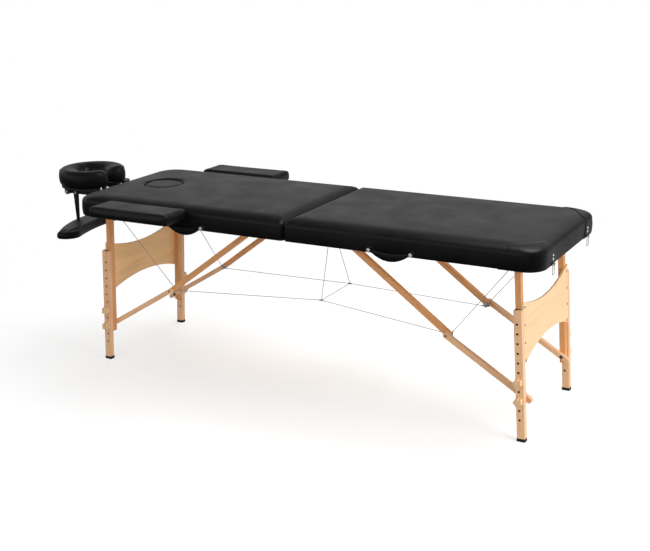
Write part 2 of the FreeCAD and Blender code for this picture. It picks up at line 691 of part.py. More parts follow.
def hinge_link(y):
    """Middle piece of a hinge, turning on the pins of both leaves."""
    axis_z = UNDERSIDE - HINGE_DROP
    half = HINGE_LINK_WIDTH / 2
    x = HINGE_PIN_SPACING / 2
    web = box(-x, x, y - half, y + half, axis_z - HINGE_WEB_THICKNESS / 2, axis_z + HINGE_WEB_THICKNESS / 2)
    barrels = [cross_rod(side * x, axis_z, y - half, y + half, HINGE_KNUCKLE_RADIUS) for side in (-1, 1)]
    bores = [cross_rod(side * x, axis_z, y - half, y + half, HINGE_PIN_RADIUS + RUNNING_CLEARANCE)
             for side in (-1, 1)]
    return joined([web] + barrels).cut(bores)


# Carry handles on the near side of the foot section

HANDLE_X = (HANDLE_INNER_X, HANDLE_INNER_X + HANDLE_SPAN)
HANDLE_AXIS_Y = -HALF_WIDTH - HANDLE_STAND_OFF
HANDLE_AXIS_Z = UNDERSIDE + HANDLE_RISE
HANDLE_EAR_FACE = HANDLE_EAR / 2


def handle_fitting(x, inward):
    """Screwed plate with an ear and the pin that the grip swings on."""
    axis = Vector(x, HANDLE_AXIS_Y, HANDLE_AXIS_Z)
    plate = box(x - HANDLE_PLATE_WIDTH / 2, x + HANDLE_EAR_FACE,
                -HALF_WIDTH - HANDLE_PLATE_THICKNESS, -HALF_WIDTH,
                HANDLE_AXIS_Z - HANDLE_PLATE_HEIGHT / 2, HANDLE_AXIS_Z + HANDLE_PLATE_HEIGHT / 2)
    if inward < 0:
        plate = plate.mirror(axis, X_AXIS)
    ear = box(x - HANDLE_EAR_FACE, x + HANDLE_EAR_FACE, HANDLE_AXIS_Y - HANDLE_EAR_FACE, -HALF_WIDTH,
              HANDLE_AXIS_Z - HANDLE_EAR_FACE, HANDLE_AXIS_Z + HANDLE_EAR_FACE)
    pin_start = axis + X_AXIS * (inward * HANDLE_EAR_FACE)
    pin = rod(pin_start, pin_start + X_AXIS * (inward * HANDLE_PIN_LENGTH), HANDLE_PIN_RADIUS)
    return joined([plate, ear, pin])


def handle_grip():
    """Padded crescent that hangs between the two pins."""
    x0 = HANDLE_X[0] + HANDLE_EAR_FACE + SIDE_CLEARANCE
    x1 = HANDLE_X[1] - HANDLE_EAR_FACE - SIDE_CLEARANCE
    middle = (x0 + x1) / 2
    y = HANDLE_AXIS_Y - HANDLE_THICKNESS / 2
    top = HANDLE_AXIS_Z + HANDLE_ABOVE
    end_bottom = top - HANDLE_END_DEPTH
    outline = closed_wire([
        arc(Vector(x0, y, top), Vector(middle, y, top - HANDLE_SAG), Vector(x1, y, top)),
        line(Vector(x1, y, top), Vector(x1, y, end_bottom)),
        arc(Vector(x1, y, end_bottom), Vector(middle, y, top - HANDLE_SAG - HANDLE_DEPTH),
            Vector(x0, y, end_bottom)),
        line(Vector(x0, y, end_bottom), Vector(x0, y, top)),
    ])
    grip = Part.Face(outline).extrude(Vector(0, HANDLE_THICKNESS, 0))
    bores = []
    for x, inward in zip(HANDLE_X, (1, -1)):
        start = Vector(x, HANDLE_AXIS_Y, HANDLE_AXIS_Z)
        reach = HANDLE_EAR_FACE + HANDLE_PIN_LENGTH + SIDE_CLEARANCE
        bores.append(rod(start, start + X_AXIS * (inward * reach), HANDLE_PIN_RADIUS + RUNNING_CLEARANCE))
    return grip.cut(bores)


# Draw latches and catches

LATCH_AXIS_X = HALF_LENGTH + LATCH_KNUCKLE_REACH
LATCH_AXIS_Z = UNDERSIDE + LATCH_KNUCKLE_RISE


def latch_plate(y):
    """Screwed plate whose rolled lower edge holds the bail."""
    plate = box(HALF_LENGTH, HALF_LENGTH + LATCH_PLATE_THICKNESS, y - LATCH_WIDTH / 2, y + LATCH_WIDTH / 2,
                UNDERSIDE, UNDERSIDE + LATCH_HEIGHT)
    half = LATCH_KNUCKLE_WIDTH / 2
    knuckle = cross_rod(LATCH_AXIS_X, LATCH_AXIS_Z, y - half, y + half, LATCH_KNUCKLE_RADIUS)
    web = box(HALF_LENGTH, LATCH_AXIS_X, y - half, y + half,
              LATCH_AXIS_Z - LATCH_PLATE_THICKNESS, LATCH_AXIS_Z + LATCH_PLATE_THICKNESS)
    bore = cross_rod(LATCH_AXIS_X, LATCH_AXIS_Z, y - half, y + half, BAIL_WIRE_RADIUS + RUNNING_CLEARANCE)
    screws = []
    for share in (0.5, 0.8):
        seat = Vector(HALF_LENGTH + LATCH_PLATE_THICKNESS, y, UNDERSIDE + LATCH_HEIGHT * share)
        screws.append(rod(seat, seat + X_AXIS * PANEL_SCREW_HEAD_HEIGHT, PANEL_SCREW_HEAD_RADIUS))
    return joined([plate, knuckle, web] + screws).cut(bore)


def latch_bail(y):
    """Closed wire loop that hangs from the latch."""
    half = BAIL_WIDTH / 2
    loop = rounded_outline(0, BAIL_LENGTH, y - half, y + half, 0, BAIL_CORNER, BAIL_CORNER)
    start = loop.Edges[0].valueAt(loop.Edges[0].FirstParameter)
    section = Part.Wire([Part.makeCircle(BAIL_WIRE_RADIUS, start, X_AXIS)])
    wire = loop.makePipeShell([section], True, False)
    return wire.rotated(ORIGIN, Y_AXIS, 90).translated(Vector(LATCH_AXIS_X, 0, LATCH_AXIS_Z))


def latch_catch(y):
    """Hooked plate that the bail is drawn over."""
    half = LATCH_WIDTH / 2
    hook_z = UNDERSIDE + CATCH_HEIGHT / 2
    thickness = LATCH_PLATE_THICKNESS
    plate = box(HALF_LENGTH, HALF_LENGTH + thickness, y - half, y + half, UNDERSIDE, UNDERSIDE + CATCH_HEIGHT)
    shelf = box(HALF_LENGTH, HALF_LENGTH + CATCH_REACH, y - half / 2, y + half / 2,
                hook_z, hook_z + thickness)
    lip = box(HALF_LENGTH + CATCH_REACH - thickness, HALF_LENGTH + CATCH_REACH, y - half / 2, y + half / 2,
              hook_z, hook_z + CATCH_LIP)
    return joined([plate, shelf, lip])


# Headrest, arm shelf and armrests at the head end

FACE_HOLE_X = HEAD_END_X + FACE_HOLE_INSET
HEADREST_X = HEAD_END_X - HEADREST_REACH
HEADREST_ARM_END_X = HEAD_END_X - HEADREST_END_GAP
HEADREST_BOTTOM = UNDERSIDE + HEADREST_RISE
AXLE_X = HEAD_END_X - AXLE_REACH
CROSS_PIECE_X = HEAD_END_X - CROSS_PIECE_REACH
STRAP_X = HEAD_END_X - STRAP_REACH
SHELF_BOTTOM = UNDERSIDE - SHELF_DROP
PLATFORM_BOTTOM = HEADREST_BOTTOM - PLATFORM_THICKNESS
AXLE_Z = PLATFORM_BOTTOM - AXLE_DROP
ROD_Z = UNDERSIDE + ROD_RISE
BASE_ARM_FACE = BASE_ARM_OFFSET + BASE_ARM_THICKNESS
LUG_Y = BASE_ARM_FACE + LUG_GAP
STRAP_Y = BASE_ARM_FACE + STRAP_GAP
STRAP_PIN_Z = AXLE_Z - STRAP_PIN_DROP


def horseshoe_outline(inset, z):
    """Level U that opens towards the table, with round arm ends."""
    outer = HEADREST_OUTER_RADIUS - inset
    inner = HEADREST_INNER_RADIUS + inset
    end = (outer - inner) / 2
    arm = (outer + inner) / 2
    bend = Vector(HEADREST_X, 0, z)
    tip_x = HEADREST_ARM_END_X - (HEADREST_OUTER_RADIUS - HEADREST_INNER_RADIUS) / 2
    near_tip = Vector(tip_x, -arm, z)
    far_tip = Vector(tip_x, arm, z)
    return Part.Wire([
        line(Vector(HEADREST_X, -outer, z), Vector(tip_x, -outer, z)),
        corner_arc(near_tip, end, -90),
        corner_arc(near_tip, end, 0),
        line(Vector(tip_x, -inner, z), Vector(HEADREST_X, -inner, z)),
        corner_arc(bend, inner, 180),
        corner_arc(bend, inner, 90),
        line(Vector(HEADREST_X, inner, z), Vector(tip_x, inner, z)),
        corner_arc(far_tip, end, -90),
        corner_arc(far_tip, end, 0),
        line(Vector(tip_x, outer, z), Vector(HEADREST_X, outer, z)),
        corner_arc(bend, outer, 90),
        corner_arc(bend, outer, 180),
    ])


def headrest_cushion():
    """Face cushion with drawn-in lower sides and a rounded crown."""
    arm_half = (HEADREST_OUTER_RADIUS - HEADREST_INNER_RADIUS) / 2
    stations = ((0.20, 0.0), (0.05, 0.16), (0.0, 0.42), (0.05, 0.66), (0.16, 0.83), (0.34, 0.94), (0.62, 1.0))
    outlines = []
    for inset_share, height_share in stations:
        z = HEADREST_BOTTOM + HEADREST_THICKNESS * height_share
        outlines.append(horseshoe_outline(arm_half * inset_share, z))
    return Part.makeLoft(outlines, True, True)


def headrest_platform():
    """Horseshoe board under the cushion with two lugs that turn on the axle."""
    board = prism(horseshoe_outline(PLATFORM_INSET, PLATFORM_BOTTOM), PLATFORM_THICKNESS)
    lugs = []
    for side in (-1, 1):
        y0, y1 = sorted((side * LUG_Y, side * (LUG_Y + LUG_THICKNESS)))
        left = Vector(AXLE_X - LUG_HALF, y0, AXLE_Z)
        right = Vector(AXLE_X + LUG_HALF, y0, AXLE_Z)
        rise = Z_AXIS * AXLE_DROP
        outline = closed_wire([
            arc(left, Vector(AXLE_X, y0, AXLE_Z - LUG_HALF), right),
            line(right, right + rise),
            line(right + rise, left + rise),
            line(left + rise, left),
        ])
        lugs.append(Part.Face(outline).extrude(Vector(0, y1 - y0, 0)))
    reach = LUG_Y + LUG_THICKNESS
    hole = cross_rod(AXLE_X, AXLE_Z, -reach, reach, AXLE_RADIUS + RUNNING_CLEARANCE)
    return joined([board] + [lug.cut(hole) for lug in lugs])


def headrest_rods():
    """Two rods that push into the head end."""
    rods = []
    inner_x = CROSS_PIECE_X + CROSS_PIECE_LENGTH - ROD_HOLD
    for side in (-1, 1):
        y = side * ROD_OFFSET
        rods.append(rod(Vector(inner_x, y, ROD_Z), Vector(HEAD_END_X + ROD_INSERT, y, ROD_Z), ROD_RADIUS))
    return rods


def headrest_axle():
    reach = LUG_Y + LUG_THICKNESS + SIDE_CLEARANCE
    shaft = cross_rod(AXLE_X, AXLE_Z, -reach, reach, AXLE_RADIUS)
    caps = far_and_near(cross_rod(AXLE_X, AXLE_Z, reach, reach + AXLE_CAP_LENGTH, AXLE_CAP_RADIUS))
    return joined([shaft] + caps)


def strap_pin():
    """Headed pin in the outer face of a base arm."""
    end = STRAP_Y + STRAP_THICKNESS + SIDE_CLEARANCE
    shank = cross_rod(STRAP_X, STRAP_PIN_Z, BASE_ARM_FACE - STRAP_PIN_HOLD, end, STRAP_PIN_RADIUS)
    head = cross_rod(STRAP_X, STRAP_PIN_Z, end, end + STRAP_PIN_HEAD_LENGTH, STRAP_PIN_HEAD_RADIUS)
    return joined([shank, head])


def headrest_base():
    """Two arms from the axle to a cross piece that holds the rods."""
    half = BASE_ARM_DEPTH / 2
    axle = Vector(AXLE_X, 0, AXLE_Z)
    root = Vector(CROSS_PIECE_X, 0, AXLE_Z)
    arm = slab(axle, root, half, half, half, BASE_ARM_OFFSET, BASE_ARM_FACE)
    top = PLATFORM_BOTTOM - PLATFORM_REST_GAP
    cross = box(CROSS_PIECE_X, CROSS_PIECE_X + CROSS_PIECE_LENGTH, -CROSS_PIECE_WIDTH / 2,
                CROSS_PIECE_WIDTH / 2, top - CROSS_PIECE_DEPTH, top)
    held = headrest_rods() + [headrest_axle()] + far_and_near(strap_pin())
    return joined([cross] + far_and_near(arm)).cut(held)


def shelf_outline(inset, z):
    """Wing-shaped outline, its tips swept towards the table."""
    outer_y = SHELF_OUTER_END_Y - inset
    inner_y = SHELF_INNER_END_Y - inset / 2
    tip_y = SHELF_TIP_Y - inset
    outer_x = HEAD_END_X - SHELF_OUTER_END_REACH + inset / 2
    outer_mid_x = HEAD_END_X - SHELF_OUTER_MID_REACH + inset
    inner_x = HEAD_END_X - SHELF_INNER_END_REACH - inset
    inner_mid_x = HEAD_END_X - SHELF_INNER_MID_REACH - inset
    tip_x = HEAD_END_X - SHELF_TIP_REACH - inset
    corners = [Vector(outer_x, -outer_y, z), Vector(inner_x, -inner_y, z),
               Vector(inner_x, inner_y, z), Vector(outer_x, outer_y, z)]
    return Part.Wire([
        arc(corners[0], Vector(tip_x, -tip_y, z), corners[1]),
        arc(corners[1], Vector(inner_mid_x, 0, z), corners[2]),
        arc(corners[2], Vector(tip_x, tip_y, z), corners[3]),
        arc(corners[3], Vector(outer_mid_x, 0, z), corners[0]),
    ])


def padded_loft(outline_at, z0, thickness, edge):
    """Soft block with drawn-in lower and upper edges and a small crown."""
    top = z0 + thickness
    return Part.makeLoft([
        outline_at(edge * 0.55, z0),
        outline_at(edge * 0.12, z0 + edge * 0.5),
        outline_at(0, z0 + thickness * 0.45),
        outline_at(edge * 0.12, top - edge * 0.7),
        outline_at(edge * 0.5, top - edge * 0.25),
        outline_at(edge * 1.3, top),
    ], True, True)


def arm_shelf():
    return padded_loft(shelf_outline, SHELF_BOTTOM, SHELF_THICKNESS, SHELF_EDGE)


def shelf_strap():
    """Flat tapered strap from a pin on the far side down to the top of the shelf."""
    half = STRAP_TOP_WIDTH / 2
    end_half = STRAP_END_WIDTH / 2
    bottom = SHELF_BOTTOM + SHELF_THICKNESS
    left = Vector(STRAP_X - half, STRAP_Y, STRAP_PIN_Z)
    right = Vector(STRAP_X + half, STRAP_Y, STRAP_PIN_Z)
    left_end = Vector(STRAP_X - end_half, STRAP_Y, bottom)
    right_end = Vector(STRAP_X + end_half, STRAP_Y, bottom)
    outline = closed_wire([
        arc(left, Vector(STRAP_X, STRAP_Y, STRAP_PIN_Z + half), right),
        line(right, right_end),
        line(right_end, left_end),
        line(left_end, left),
    ])
    strap = Part.Face(outline).extrude(Vector(0, STRAP_THICKNESS, 0))
    hole = cross_rod(STRAP_X, STRAP_PIN_Z, STRAP_Y, STRAP_Y + STRAP_THICKNESS,
                     STRAP_PIN_RADIUS + RUNNING_CLEARANCE)
    return strap.cut(hole)


ARMREST_FACE_Y = HALF_WIDTH + ARMREST_GAP
ARMREST_BOTTOM = UNDERSIDE + ARMREST_RISE
ARMREST_PIN_Z = ARMREST_BOTTOM + ARMREST_PIN_RISE
ARMREST_OUTER_X = HEAD_END_X + ARMREST_INSET
ARMREST_INNER_X = ARMREST_OUTER_X + ARMREST_LENGTH
ARMREST_PIN_X = (ARMREST_INNER_X - ARMREST_PIN_INSET, ARMREST_OUTER_X + ARMREST_PIN_INSET)


def armrest_outline(inset, z):
    return rounded_outline(
        ARMREST_OUTER_X + inset, ARMREST_INNER_X - inset,
        ARMREST_FACE_Y + inset, ARMREST_FACE_Y + ARMREST_WIDTH - inset, z,
        ARMREST_CORNER, ARMREST_CORNER,
    )


def armrest_pins():
    pins = []
    for x in ARMREST_PIN_X:
        pins.append(cross_rod(x, ARMREST_PIN_Z, RAIL_FACE_Y, ARMREST_FACE_Y + ARMREST_PIN_HOLD,
                              ARMREST_PIN_RADIUS))
    return pins


def armrest():
    pad = padded_loft(armrest_outline, ARMREST_BOTTOM, ARMREST_THICKNESS, ARMREST_EDGE)
    return pad.cut(armrest_pins())


def socket_holes(clearance):
    """Holes in the head section for the headrest rods and the armrest pins."""
    holes = []
    for side in (-1, 1):
        start = Vector(HEAD_END_X - SEAM_GAP, side * ROD_OFFSET, ROD_Z)
        end = Vector(HEAD_END_X + ROD_INSERT, side * ROD_OFFSET, ROD_Z)
        holes.append(rod(start, end, ROD_RADIUS + clearance))
    for x in ARMREST_PIN_X:
        hole = cross_rod(x, ARMREST_PIN_Z, RAIL_FACE_Y - SEAM_GAP, HALF_WIDTH + SEAM_GAP,
                         ARMREST_PIN_RADIUS + clearance)
        holes += far_and_near(hole)
    return holes


def face_plug():
    """Round padded plug that sits on the rim of the deck."""
    radius = FACE_HOLE_RADIUS - PLUG_CLEARANCE
    bottom = DECK_TOP + PLUG_SEAT_GAP
    axis = Vector(FACE_HOLE_X, 0, 0)
    top = TABLE_HEIGHT
    outline = closed_wire([
        line(Vector(axis.x, 0, bottom), Vector(axis.x + radius, 0, bottom)),
        line(Vector(axis.x + radius, 0, bottom), Vector(axis.x + radius, 0, top - CROWN - PLUG_EDGE)),
        arc(Vector(axis.x + radius, 0, top - CROWN - PLUG_EDGE),
            Vector(axis.x + radius - PLUG_EDGE * 0.3, 0, top - CROWN - PLUG_EDGE * 0.3),
            Vector(axis.x + radius - PLUG_EDGE, 0, top - CROWN)),
        line(Vector(axis.x + radius - PLUG_EDGE, 0, top - CROWN), Vector(axis.x, 0, top)),
        line(Vector(axis.x, 0, top), Vector(axis.x, 0, bottom)),
    ])
    return Part.Face(outline).revolve(axis, Z_AXIS, 360)


# All pieces, by name

def section_pieces(parts):
    """Frames, decks, pads and everything fixed to them."""
    hinge_rows = (-HINGE_OFFSET, HINGE_OFFSET)
    face_hole = rod(Vector(FACE_HOLE_X, 0, DECK_TOP), Vector(FACE_HOLE_X, 0, TABLE_HEIGHT + CROWN),
                    FACE_HOLE_RADIUS)
    deck_hole = rod(Vector(FACE_HOLE_X, 0, DECK_BOTTOM), Vector(FACE_HOLE_X, 0, DECK_TOP),
                    FACE_HOLE_RADIUS - FACE_LEDGE)
    blocks = far_and_near(leg_pivot_block()) + far_and_near(brace_pivot_block())
    bolts = far_and_near(leg_pivot_bolt()) + far_and_near(brace_pivot_bolt())
    leaves = [hinge_leaf(y) for y in hinge_rows]
    rails = section_rails()
    pad = section_pad()
    centre_eye = screw_eye(CENTRE_EYE - X_AXIS * CABLE_EYE_REACH, CENTRE_EYE)
    sockets = socket_holes(RUNNING_CLEARANCE)
    cover_holes = socket_holes(COVER_HOLE_CLEARANCE)
    fittings = [handle_fitting(x, inward) for x, inward in zip(HANDLE_X, (1, -1))]

    parts["foot_frame"] = group(rails + blocks)
    parts["foot_deck"] = section_deck()
    parts["foot_pad"] = pad
    parts["foot_frame_fittings"] = group(bolts + leaves + [centre_eye])
    parts["foot_handle_fittings"] = group(fittings)
    parts["foot_handle_grip"] = handle_grip()
    parts["head_frame"] = group([to_head(rail).cut(sockets) for rail in rails] + [to_head(b) for b in blocks])
    parts["head_deck"] = to_head(section_deck()).cut(deck_hole)
    parts["head_pad"] = to_head(pad).cut(cover_holes + [face_hole])
    parts["head_frame_fittings"] = group([to_head(piece) for piece in bolts + leaves])
    parts["head_handle_fittings"] = group([to_head(piece) for piece in fittings])
    parts["head_handle_grip"] = to_head(handle_grip())
    parts["hinge_links"] = group([hinge_link(y) for y in hinge_rows])
    parts["face_plug"] = face_plug()
    parts["latch_plates"] = group([latch_plate(y) for y in (-LATCH_OFFSET, LATCH_OFFSET)])
    parts["near_latch_bail"] = latch_bail(-LATCH_OFFSET)
    parts["far_latch_bail"] = latch_bail(LATCH_OFFSET)
    parts["latch_catches"] = group([to_head(latch_catch(y)) for y in (-LATCH_OFFSET, LATCH_OFFSET)])


def leg_pieces(parts):
    """Leg sets and braces of both ends."""
    uppers = [splayed(leg) for leg in far_and_near(upper_leg())]
    panel = splayed(end_panel())
    fasteners = []
    for index in range(PANEL_SCREW_COUNT):
        fasteners += far_and_near(splayed(panel_screw(index)))
    for index in KNOB_HOLES:
        fasteners += far_and_near(splayed(leg_stud(index)))
    lower = lower_leg()
    foot = rubber_foot(lower)
    knobs = [splayed(knob(index)) for index in KNOB_HOLES]
    struts = {
        "upper_braces": far_and_near(upper_brace()),
        "lower_braces": far_and_near(lower_brace()),
        "brace_brackets": far_and_near(brace_bracket()),
    }
    for end, place in (("foot", lambda shape: shape), ("head", to_head)):
        parts[end + "_upper_legs"] = group([place(leg) for leg in uppers])
        parts[end + "_end_panel"] = place(panel)
        parts[end + "_leg_fasteners"] = group([place(piece) for piece in fasteners])
        for name, pieces in struts.items():
            parts[end + "_" + name] = group([place(piece) for piece in pieces])
        for side, turn in (("far", lambda shape: shape), ("near", near)):
            stem = side + "_" + end
            parts[stem + "_lower_leg"] = place(turn(lower))
            parts[stem + "_rubber_foot"] = place(turn(foot))
            for name, piece in zip(("upper", "lower"), knobs):
                parts[stem + "_" + name + "_knob"] = place(turn(piece))


def cable_pieces(parts):
    """Taut steel cables: four diagonals, two long side cables drawn in at the waist, and the cables there."""
    post_clear = CABLE_POST_RADIUS + SIDE_CLEARANCE
    waist_clear = CRIMP_RADIUS
    post_diagonal = Vector(CABLE_POST.x, DIAGONAL_Y, CABLE_POST.z)
    post_side = Vector(CABLE_POST.x, SIDE_CABLE_Y, CABLE_POST.z)
    diagonal = cable(post_diagonal, DIAGONAL_TOP, post_clear, post_clear)
    foot_run = cable(CABLE_WAIST, post_side, waist_clear, post_clear)
    head_post = Vector(-post_side.x, post_side.y, post_side.z)
    head_run = cable(CABLE_WAIST, head_post, waist_clear, post_clear)
    lift = cable(CENTRE_EYE, CABLE_WAIST, CABLE_EYE_RADIUS, waist_clear)
    opposite = Vector(CABLE_WAIST.x, -CABLE_WAIST.y, CABLE_WAIST.z)
    across = cable(CABLE_WAIST, opposite, waist_clear, waist_clear)
    parts["foot_cables"] = group(far_and_near(diagonal) + far_and_near(foot_run))
    parts["head_cables"] = group(far_and_near(to_head(diagonal)) + far_and_near(head_run))
    crimps = far_and_near(ball(CABLE_WAIST, CRIMP_RADIUS))
    parts["waist_cables"] = group(far_and_near(lift) + crimps + [across])


def accessory_pieces(parts):
    """Headrest, arm shelf and side armrests."""
    parts["headrest_cushion"] = headrest_cushion()
    parts["headrest_platform"] = headrest_platform()
    parts["headrest_base"] = headrest_base()
    parts["headrest_rods"] = group(headrest_rods() + [headrest_axle()] + far_and_near(strap_pin()))
    parts["arm_shelf"] = arm_shelf()
    parts["arm_shelf_straps"] = group(far_and_near(shelf_strap()))
    for side, turn in (("far", lambda shape: shape), ("near", near)):
        parts[side + "_armrest"] = turn(armrest())
        parts[side + "_armrest_pins"] = group([turn(pin) for pin in armrest_pins()])


FOOT_REACH = LATCH_AXIS_X + LATCH_KNUCKLE_RADIUS
HEAD_REACH = HEADREST_X - HEADREST_OUTER_RADIUS
MIDDLE_X = (FOOT_REACH + HEAD_REACH) / 2


def build():
    parts = {}
    section_pieces(parts)
    leg_pieces(parts)
    cable_pieces(parts)
    accessory_pieces(parts)
    return {name: shape.translated(Vector(-MIDDLE_X, 0, 0)) for name, shape in parts.items()}


os.makedirs("parts", exist_ok=True)
pieces = build()
for name, shape in pieces.items():
    shape.exportStep("parts/" + name + ".step")
print(len(pieces), "pieces")
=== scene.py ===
import json
import math

import bmesh
import bpy
from mathutils import Matrix, Vector, noise
from mathutils.geometry import delaunay_2d_cdt


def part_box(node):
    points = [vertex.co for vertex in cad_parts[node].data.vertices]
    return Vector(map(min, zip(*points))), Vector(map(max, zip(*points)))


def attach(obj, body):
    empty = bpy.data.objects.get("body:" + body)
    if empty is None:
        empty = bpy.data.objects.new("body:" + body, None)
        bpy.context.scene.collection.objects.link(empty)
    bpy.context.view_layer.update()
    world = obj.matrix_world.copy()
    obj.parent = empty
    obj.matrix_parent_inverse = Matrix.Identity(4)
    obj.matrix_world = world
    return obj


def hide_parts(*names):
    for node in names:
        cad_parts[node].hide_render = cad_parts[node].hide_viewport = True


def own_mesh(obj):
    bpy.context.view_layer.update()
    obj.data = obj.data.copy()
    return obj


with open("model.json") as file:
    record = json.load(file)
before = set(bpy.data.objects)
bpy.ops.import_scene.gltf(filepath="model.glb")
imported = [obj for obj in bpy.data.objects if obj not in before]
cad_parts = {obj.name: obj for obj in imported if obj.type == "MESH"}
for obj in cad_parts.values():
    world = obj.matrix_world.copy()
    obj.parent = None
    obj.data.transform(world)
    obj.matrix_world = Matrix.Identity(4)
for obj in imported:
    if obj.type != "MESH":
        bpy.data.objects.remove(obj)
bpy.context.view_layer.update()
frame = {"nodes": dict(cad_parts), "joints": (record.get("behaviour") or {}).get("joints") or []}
scene = bpy.context.scene
nodes = frame["nodes"]
joints = {joint["name"]: joint for joint in frame["joints"]}

# Sizes of the padded sections, in metres
SECTION_ROLL = 0.068
SECTION_ROLL_HEIGHT = 0.033
ROLL_FULLNESS = (2.6, 1.9)
SECTION_CROWN = 0.002
SECTION_CROWN_RUN = 0.120
SECTION_SKIN = 0.003
SECTION_HEM = 0.006
SECTION_HEM_INSET = 0.0026
SECTION_SIDE_SWELL = 0.0012
SECTION_RIPPLE = 0.0006
END_CORNER = 0.065
END_CORNER_GROWTH = 0.55
DECK_CLEARANCE = 0.006
SEAM_CORNER = 0.016
SEAM_EDGE_SHARE = 0.75
SEAM_DART = 0.0035
SEAM_DART_START = 0.77
TOP_GRID = 0.014
UNDERSIDE_GRID = 0.05
RIPPLE_FADE = 0.04
DECK_GAP = 0.0002
FACE_HOLE_RADIUS = 0.077
FACE_HOLE_ROLL = 0.011
FACE_HOLE_POINTS = 60
FACE_HOLE_STEP = 360.0 / FACE_HOLE_POINTS

# Sizes of the smaller soft pieces
SWELL_FRAMES = 20
PINNED_HEIGHT = 0.004
VOXEL = 0.005
ARMREST_VOXEL = 0.0036
ARMREST_SHRINK = Vector((0.0012, 0.0010, 0.0006))
ARMREST_EDGE = 0.006
ARMREST_CORNER = 0.009
HEADREST_OUTER = 0.138
HEADREST_INNER = 0.048
HEADREST_GAP = 37.0
HEADREST_DISH = 0.016
PLUG_GAP = 0.0012
PATCH_LENGTH = 0.128
PATCH_REACH = 0.104
PATCH_RISE = 0.0011
PATCH_SINK = 0.0002
PATCH_EDGE = 0.0045
PATCH_SHEET = 0.0012
PATCH_STITCH_INSET = 0.006
PATCH_PROBE = 0.002
SEAM_SHADE_RADIUS = 0.0011
STITCH_RADIUS = 0.0005
PATCH_STITCH = 0.0045
HANDLE_STITCH = 0.0038
STRAP_THICKNESS = 0.0026
STRAP_INSET = 0.002
STRAP_END_SHARE = 0.56
HANDLE_TOP_SAG = 0.007
HANDLE_END_DEPTH = 0.011
HANDLE_SHRINK = 0.0006
HANDLE_STATIONS = 28
HANDLE_POINTS = 20

# Screws and holes
PEG_HOLE_RADIUS = 0.0046
HANDLE_SCREW_RADIUS = 0.0052
HANDLE_SCREW_INSET = 0.009
LATCH_SCREW_RADIUS = 0.0040
LATCH_SCREW_Y = 0.187
LATCH_PLATE_THICKNESS = 0.0030
LATCH_PLATE_HEIGHT = 0.042

# Steel cables and where they hook on
CABLE_RADIUS = 0.00125
CABLE_PITCH = 0.016
CABLE_POINTS = 12
CABLE_GROOVE = 0.8
CABLE_LOOP_POINTS = 20
CABLE_LOOP_PLAY = 0.0002
CRIMP_OVERLAP = 0.004
CRIMP_SIDE_OVERLAP = 0.003
CABLE_POST_RADIUS = 0.003
BRACKET_MARGIN = 0.0034
DIAGONAL_Y = 0.1625
SIDE_CABLE_Y = 0.1655
DIAGONAL_TOP_Y = 0.1996
CRIMP_RADIUS = 0.0035
CENTRE_EYE = Vector((0.17545, 0.0, 0.605))
CENTRE_EYE_RADIUS = 0.0048

# Directions
X_AXIS = Vector((1.0, 0.0, 0.0))
Y_AXIS = Vector((0.0, 1.0, 0.0))
Z_AXIS = Vector((0.0, 0.0, 1.0))


# Meshes

def smooth(mesh):
    mesh.polygons.foreach_set("use_smooth", [True] * len(mesh.polygons))


def flipped(points, side):
    """Points on the near side as they are, or mirrored to the far side."""
    return [Vector((p.x, p.y * side, p.z)) for p in points]


def make_object(name, vertices, faces, material):
    mesh = bpy.data.meshes.new(name)
    mesh.from_pydata([tuple(v) for v in vertices], [], faces)
    mesh.validate()
    smooth(mesh)
    mesh.materials.append(material)
    mesh.update()
    made = bpy.data.objects.new(name, mesh)
    scene.collection.objects.link(made)
    return made


class Shape:
    """Vertices and faces of one mesh while it is put together."""

    def __init__(self):
        self.vertices = []
        self.faces = []

    def ring(self, points):
        first = len(self.vertices)
        self.vertices.extend(Vector(p) for p in points)
        return list(range(first, len(self.vertices)))

    def bridge(self, low, high, closed=True):
        count = len(low)
        steps = count if closed else count - 1
        for i in range(steps):
            j = (i + 1) % count
            self.faces.append((low[i], low[j], high[j], high[i]))

    def cap(self, ring, flip=False):
        self.faces.append(tuple(reversed(ring)) if flip else tuple(ring))

    def loft(self, rings):
        """Closed rings of equal counts, joined in order and capped at both ends."""
        made = [self.ring(points) for points in rings]
        for low, high in zip(made, made[1:]):
            self.bridge(low, high)
        self.cap(made[0], flip=True)
        self.cap(made[-1])

    def object(self, name, material):
        return make_object(name, self.vertices, self.faces, material)


def circle_about(centre, side, up, radius, count):
    """Points of a circle, from one direction towards another."""
    points = []
    for i in range(count):
        angle = 2 * math.pi * i / count
        points.append(centre + side * (radius * math.cos(angle)) + up * (radius * math.sin(angle)))
    return points


def circle(centre, along, radius, count):
    """Points of a circle around a direction."""
    side = along.orthogonal().normalized()
    up = along.cross(side).normalized()
    return circle_about(centre, side, up, radius, count)


def turned(shape, base, along, profile, count=20):
    """Round piece from a profile of (distance along the axis, radius)."""
    along = along.normalized()
    shape.loft([circle(base + along * reach, along, radius, count) for reach, radius in profile])


def bent_tube(shape, points, radius, count=8, closed=False):
    """Round tube through points, open with flat ends or closed on itself."""
    rings = []
    last = len(points) - 1
    for i, point in enumerate(points):
        before = points[i - 1] if i > 0 or closed else points[i]
        after = points[(i + 1) % len(points)] if i < last or closed else points[i]
        along = (after - before).normalized()
        side = along.cross(Vector((0.31, 0.17, 0.93))).normalized()
        rings.append(shape.ring(circle_about(point, side, along.cross(side), radius, count)))
    for low, high in zip(rings, rings[1:]):
        shape.bridge(low, high)
    if closed:
        shape.bridge(rings[-1], rings[0])
    else:
        shape.cap(rings[0], flip=True)
        shape.cap(rings[-1])


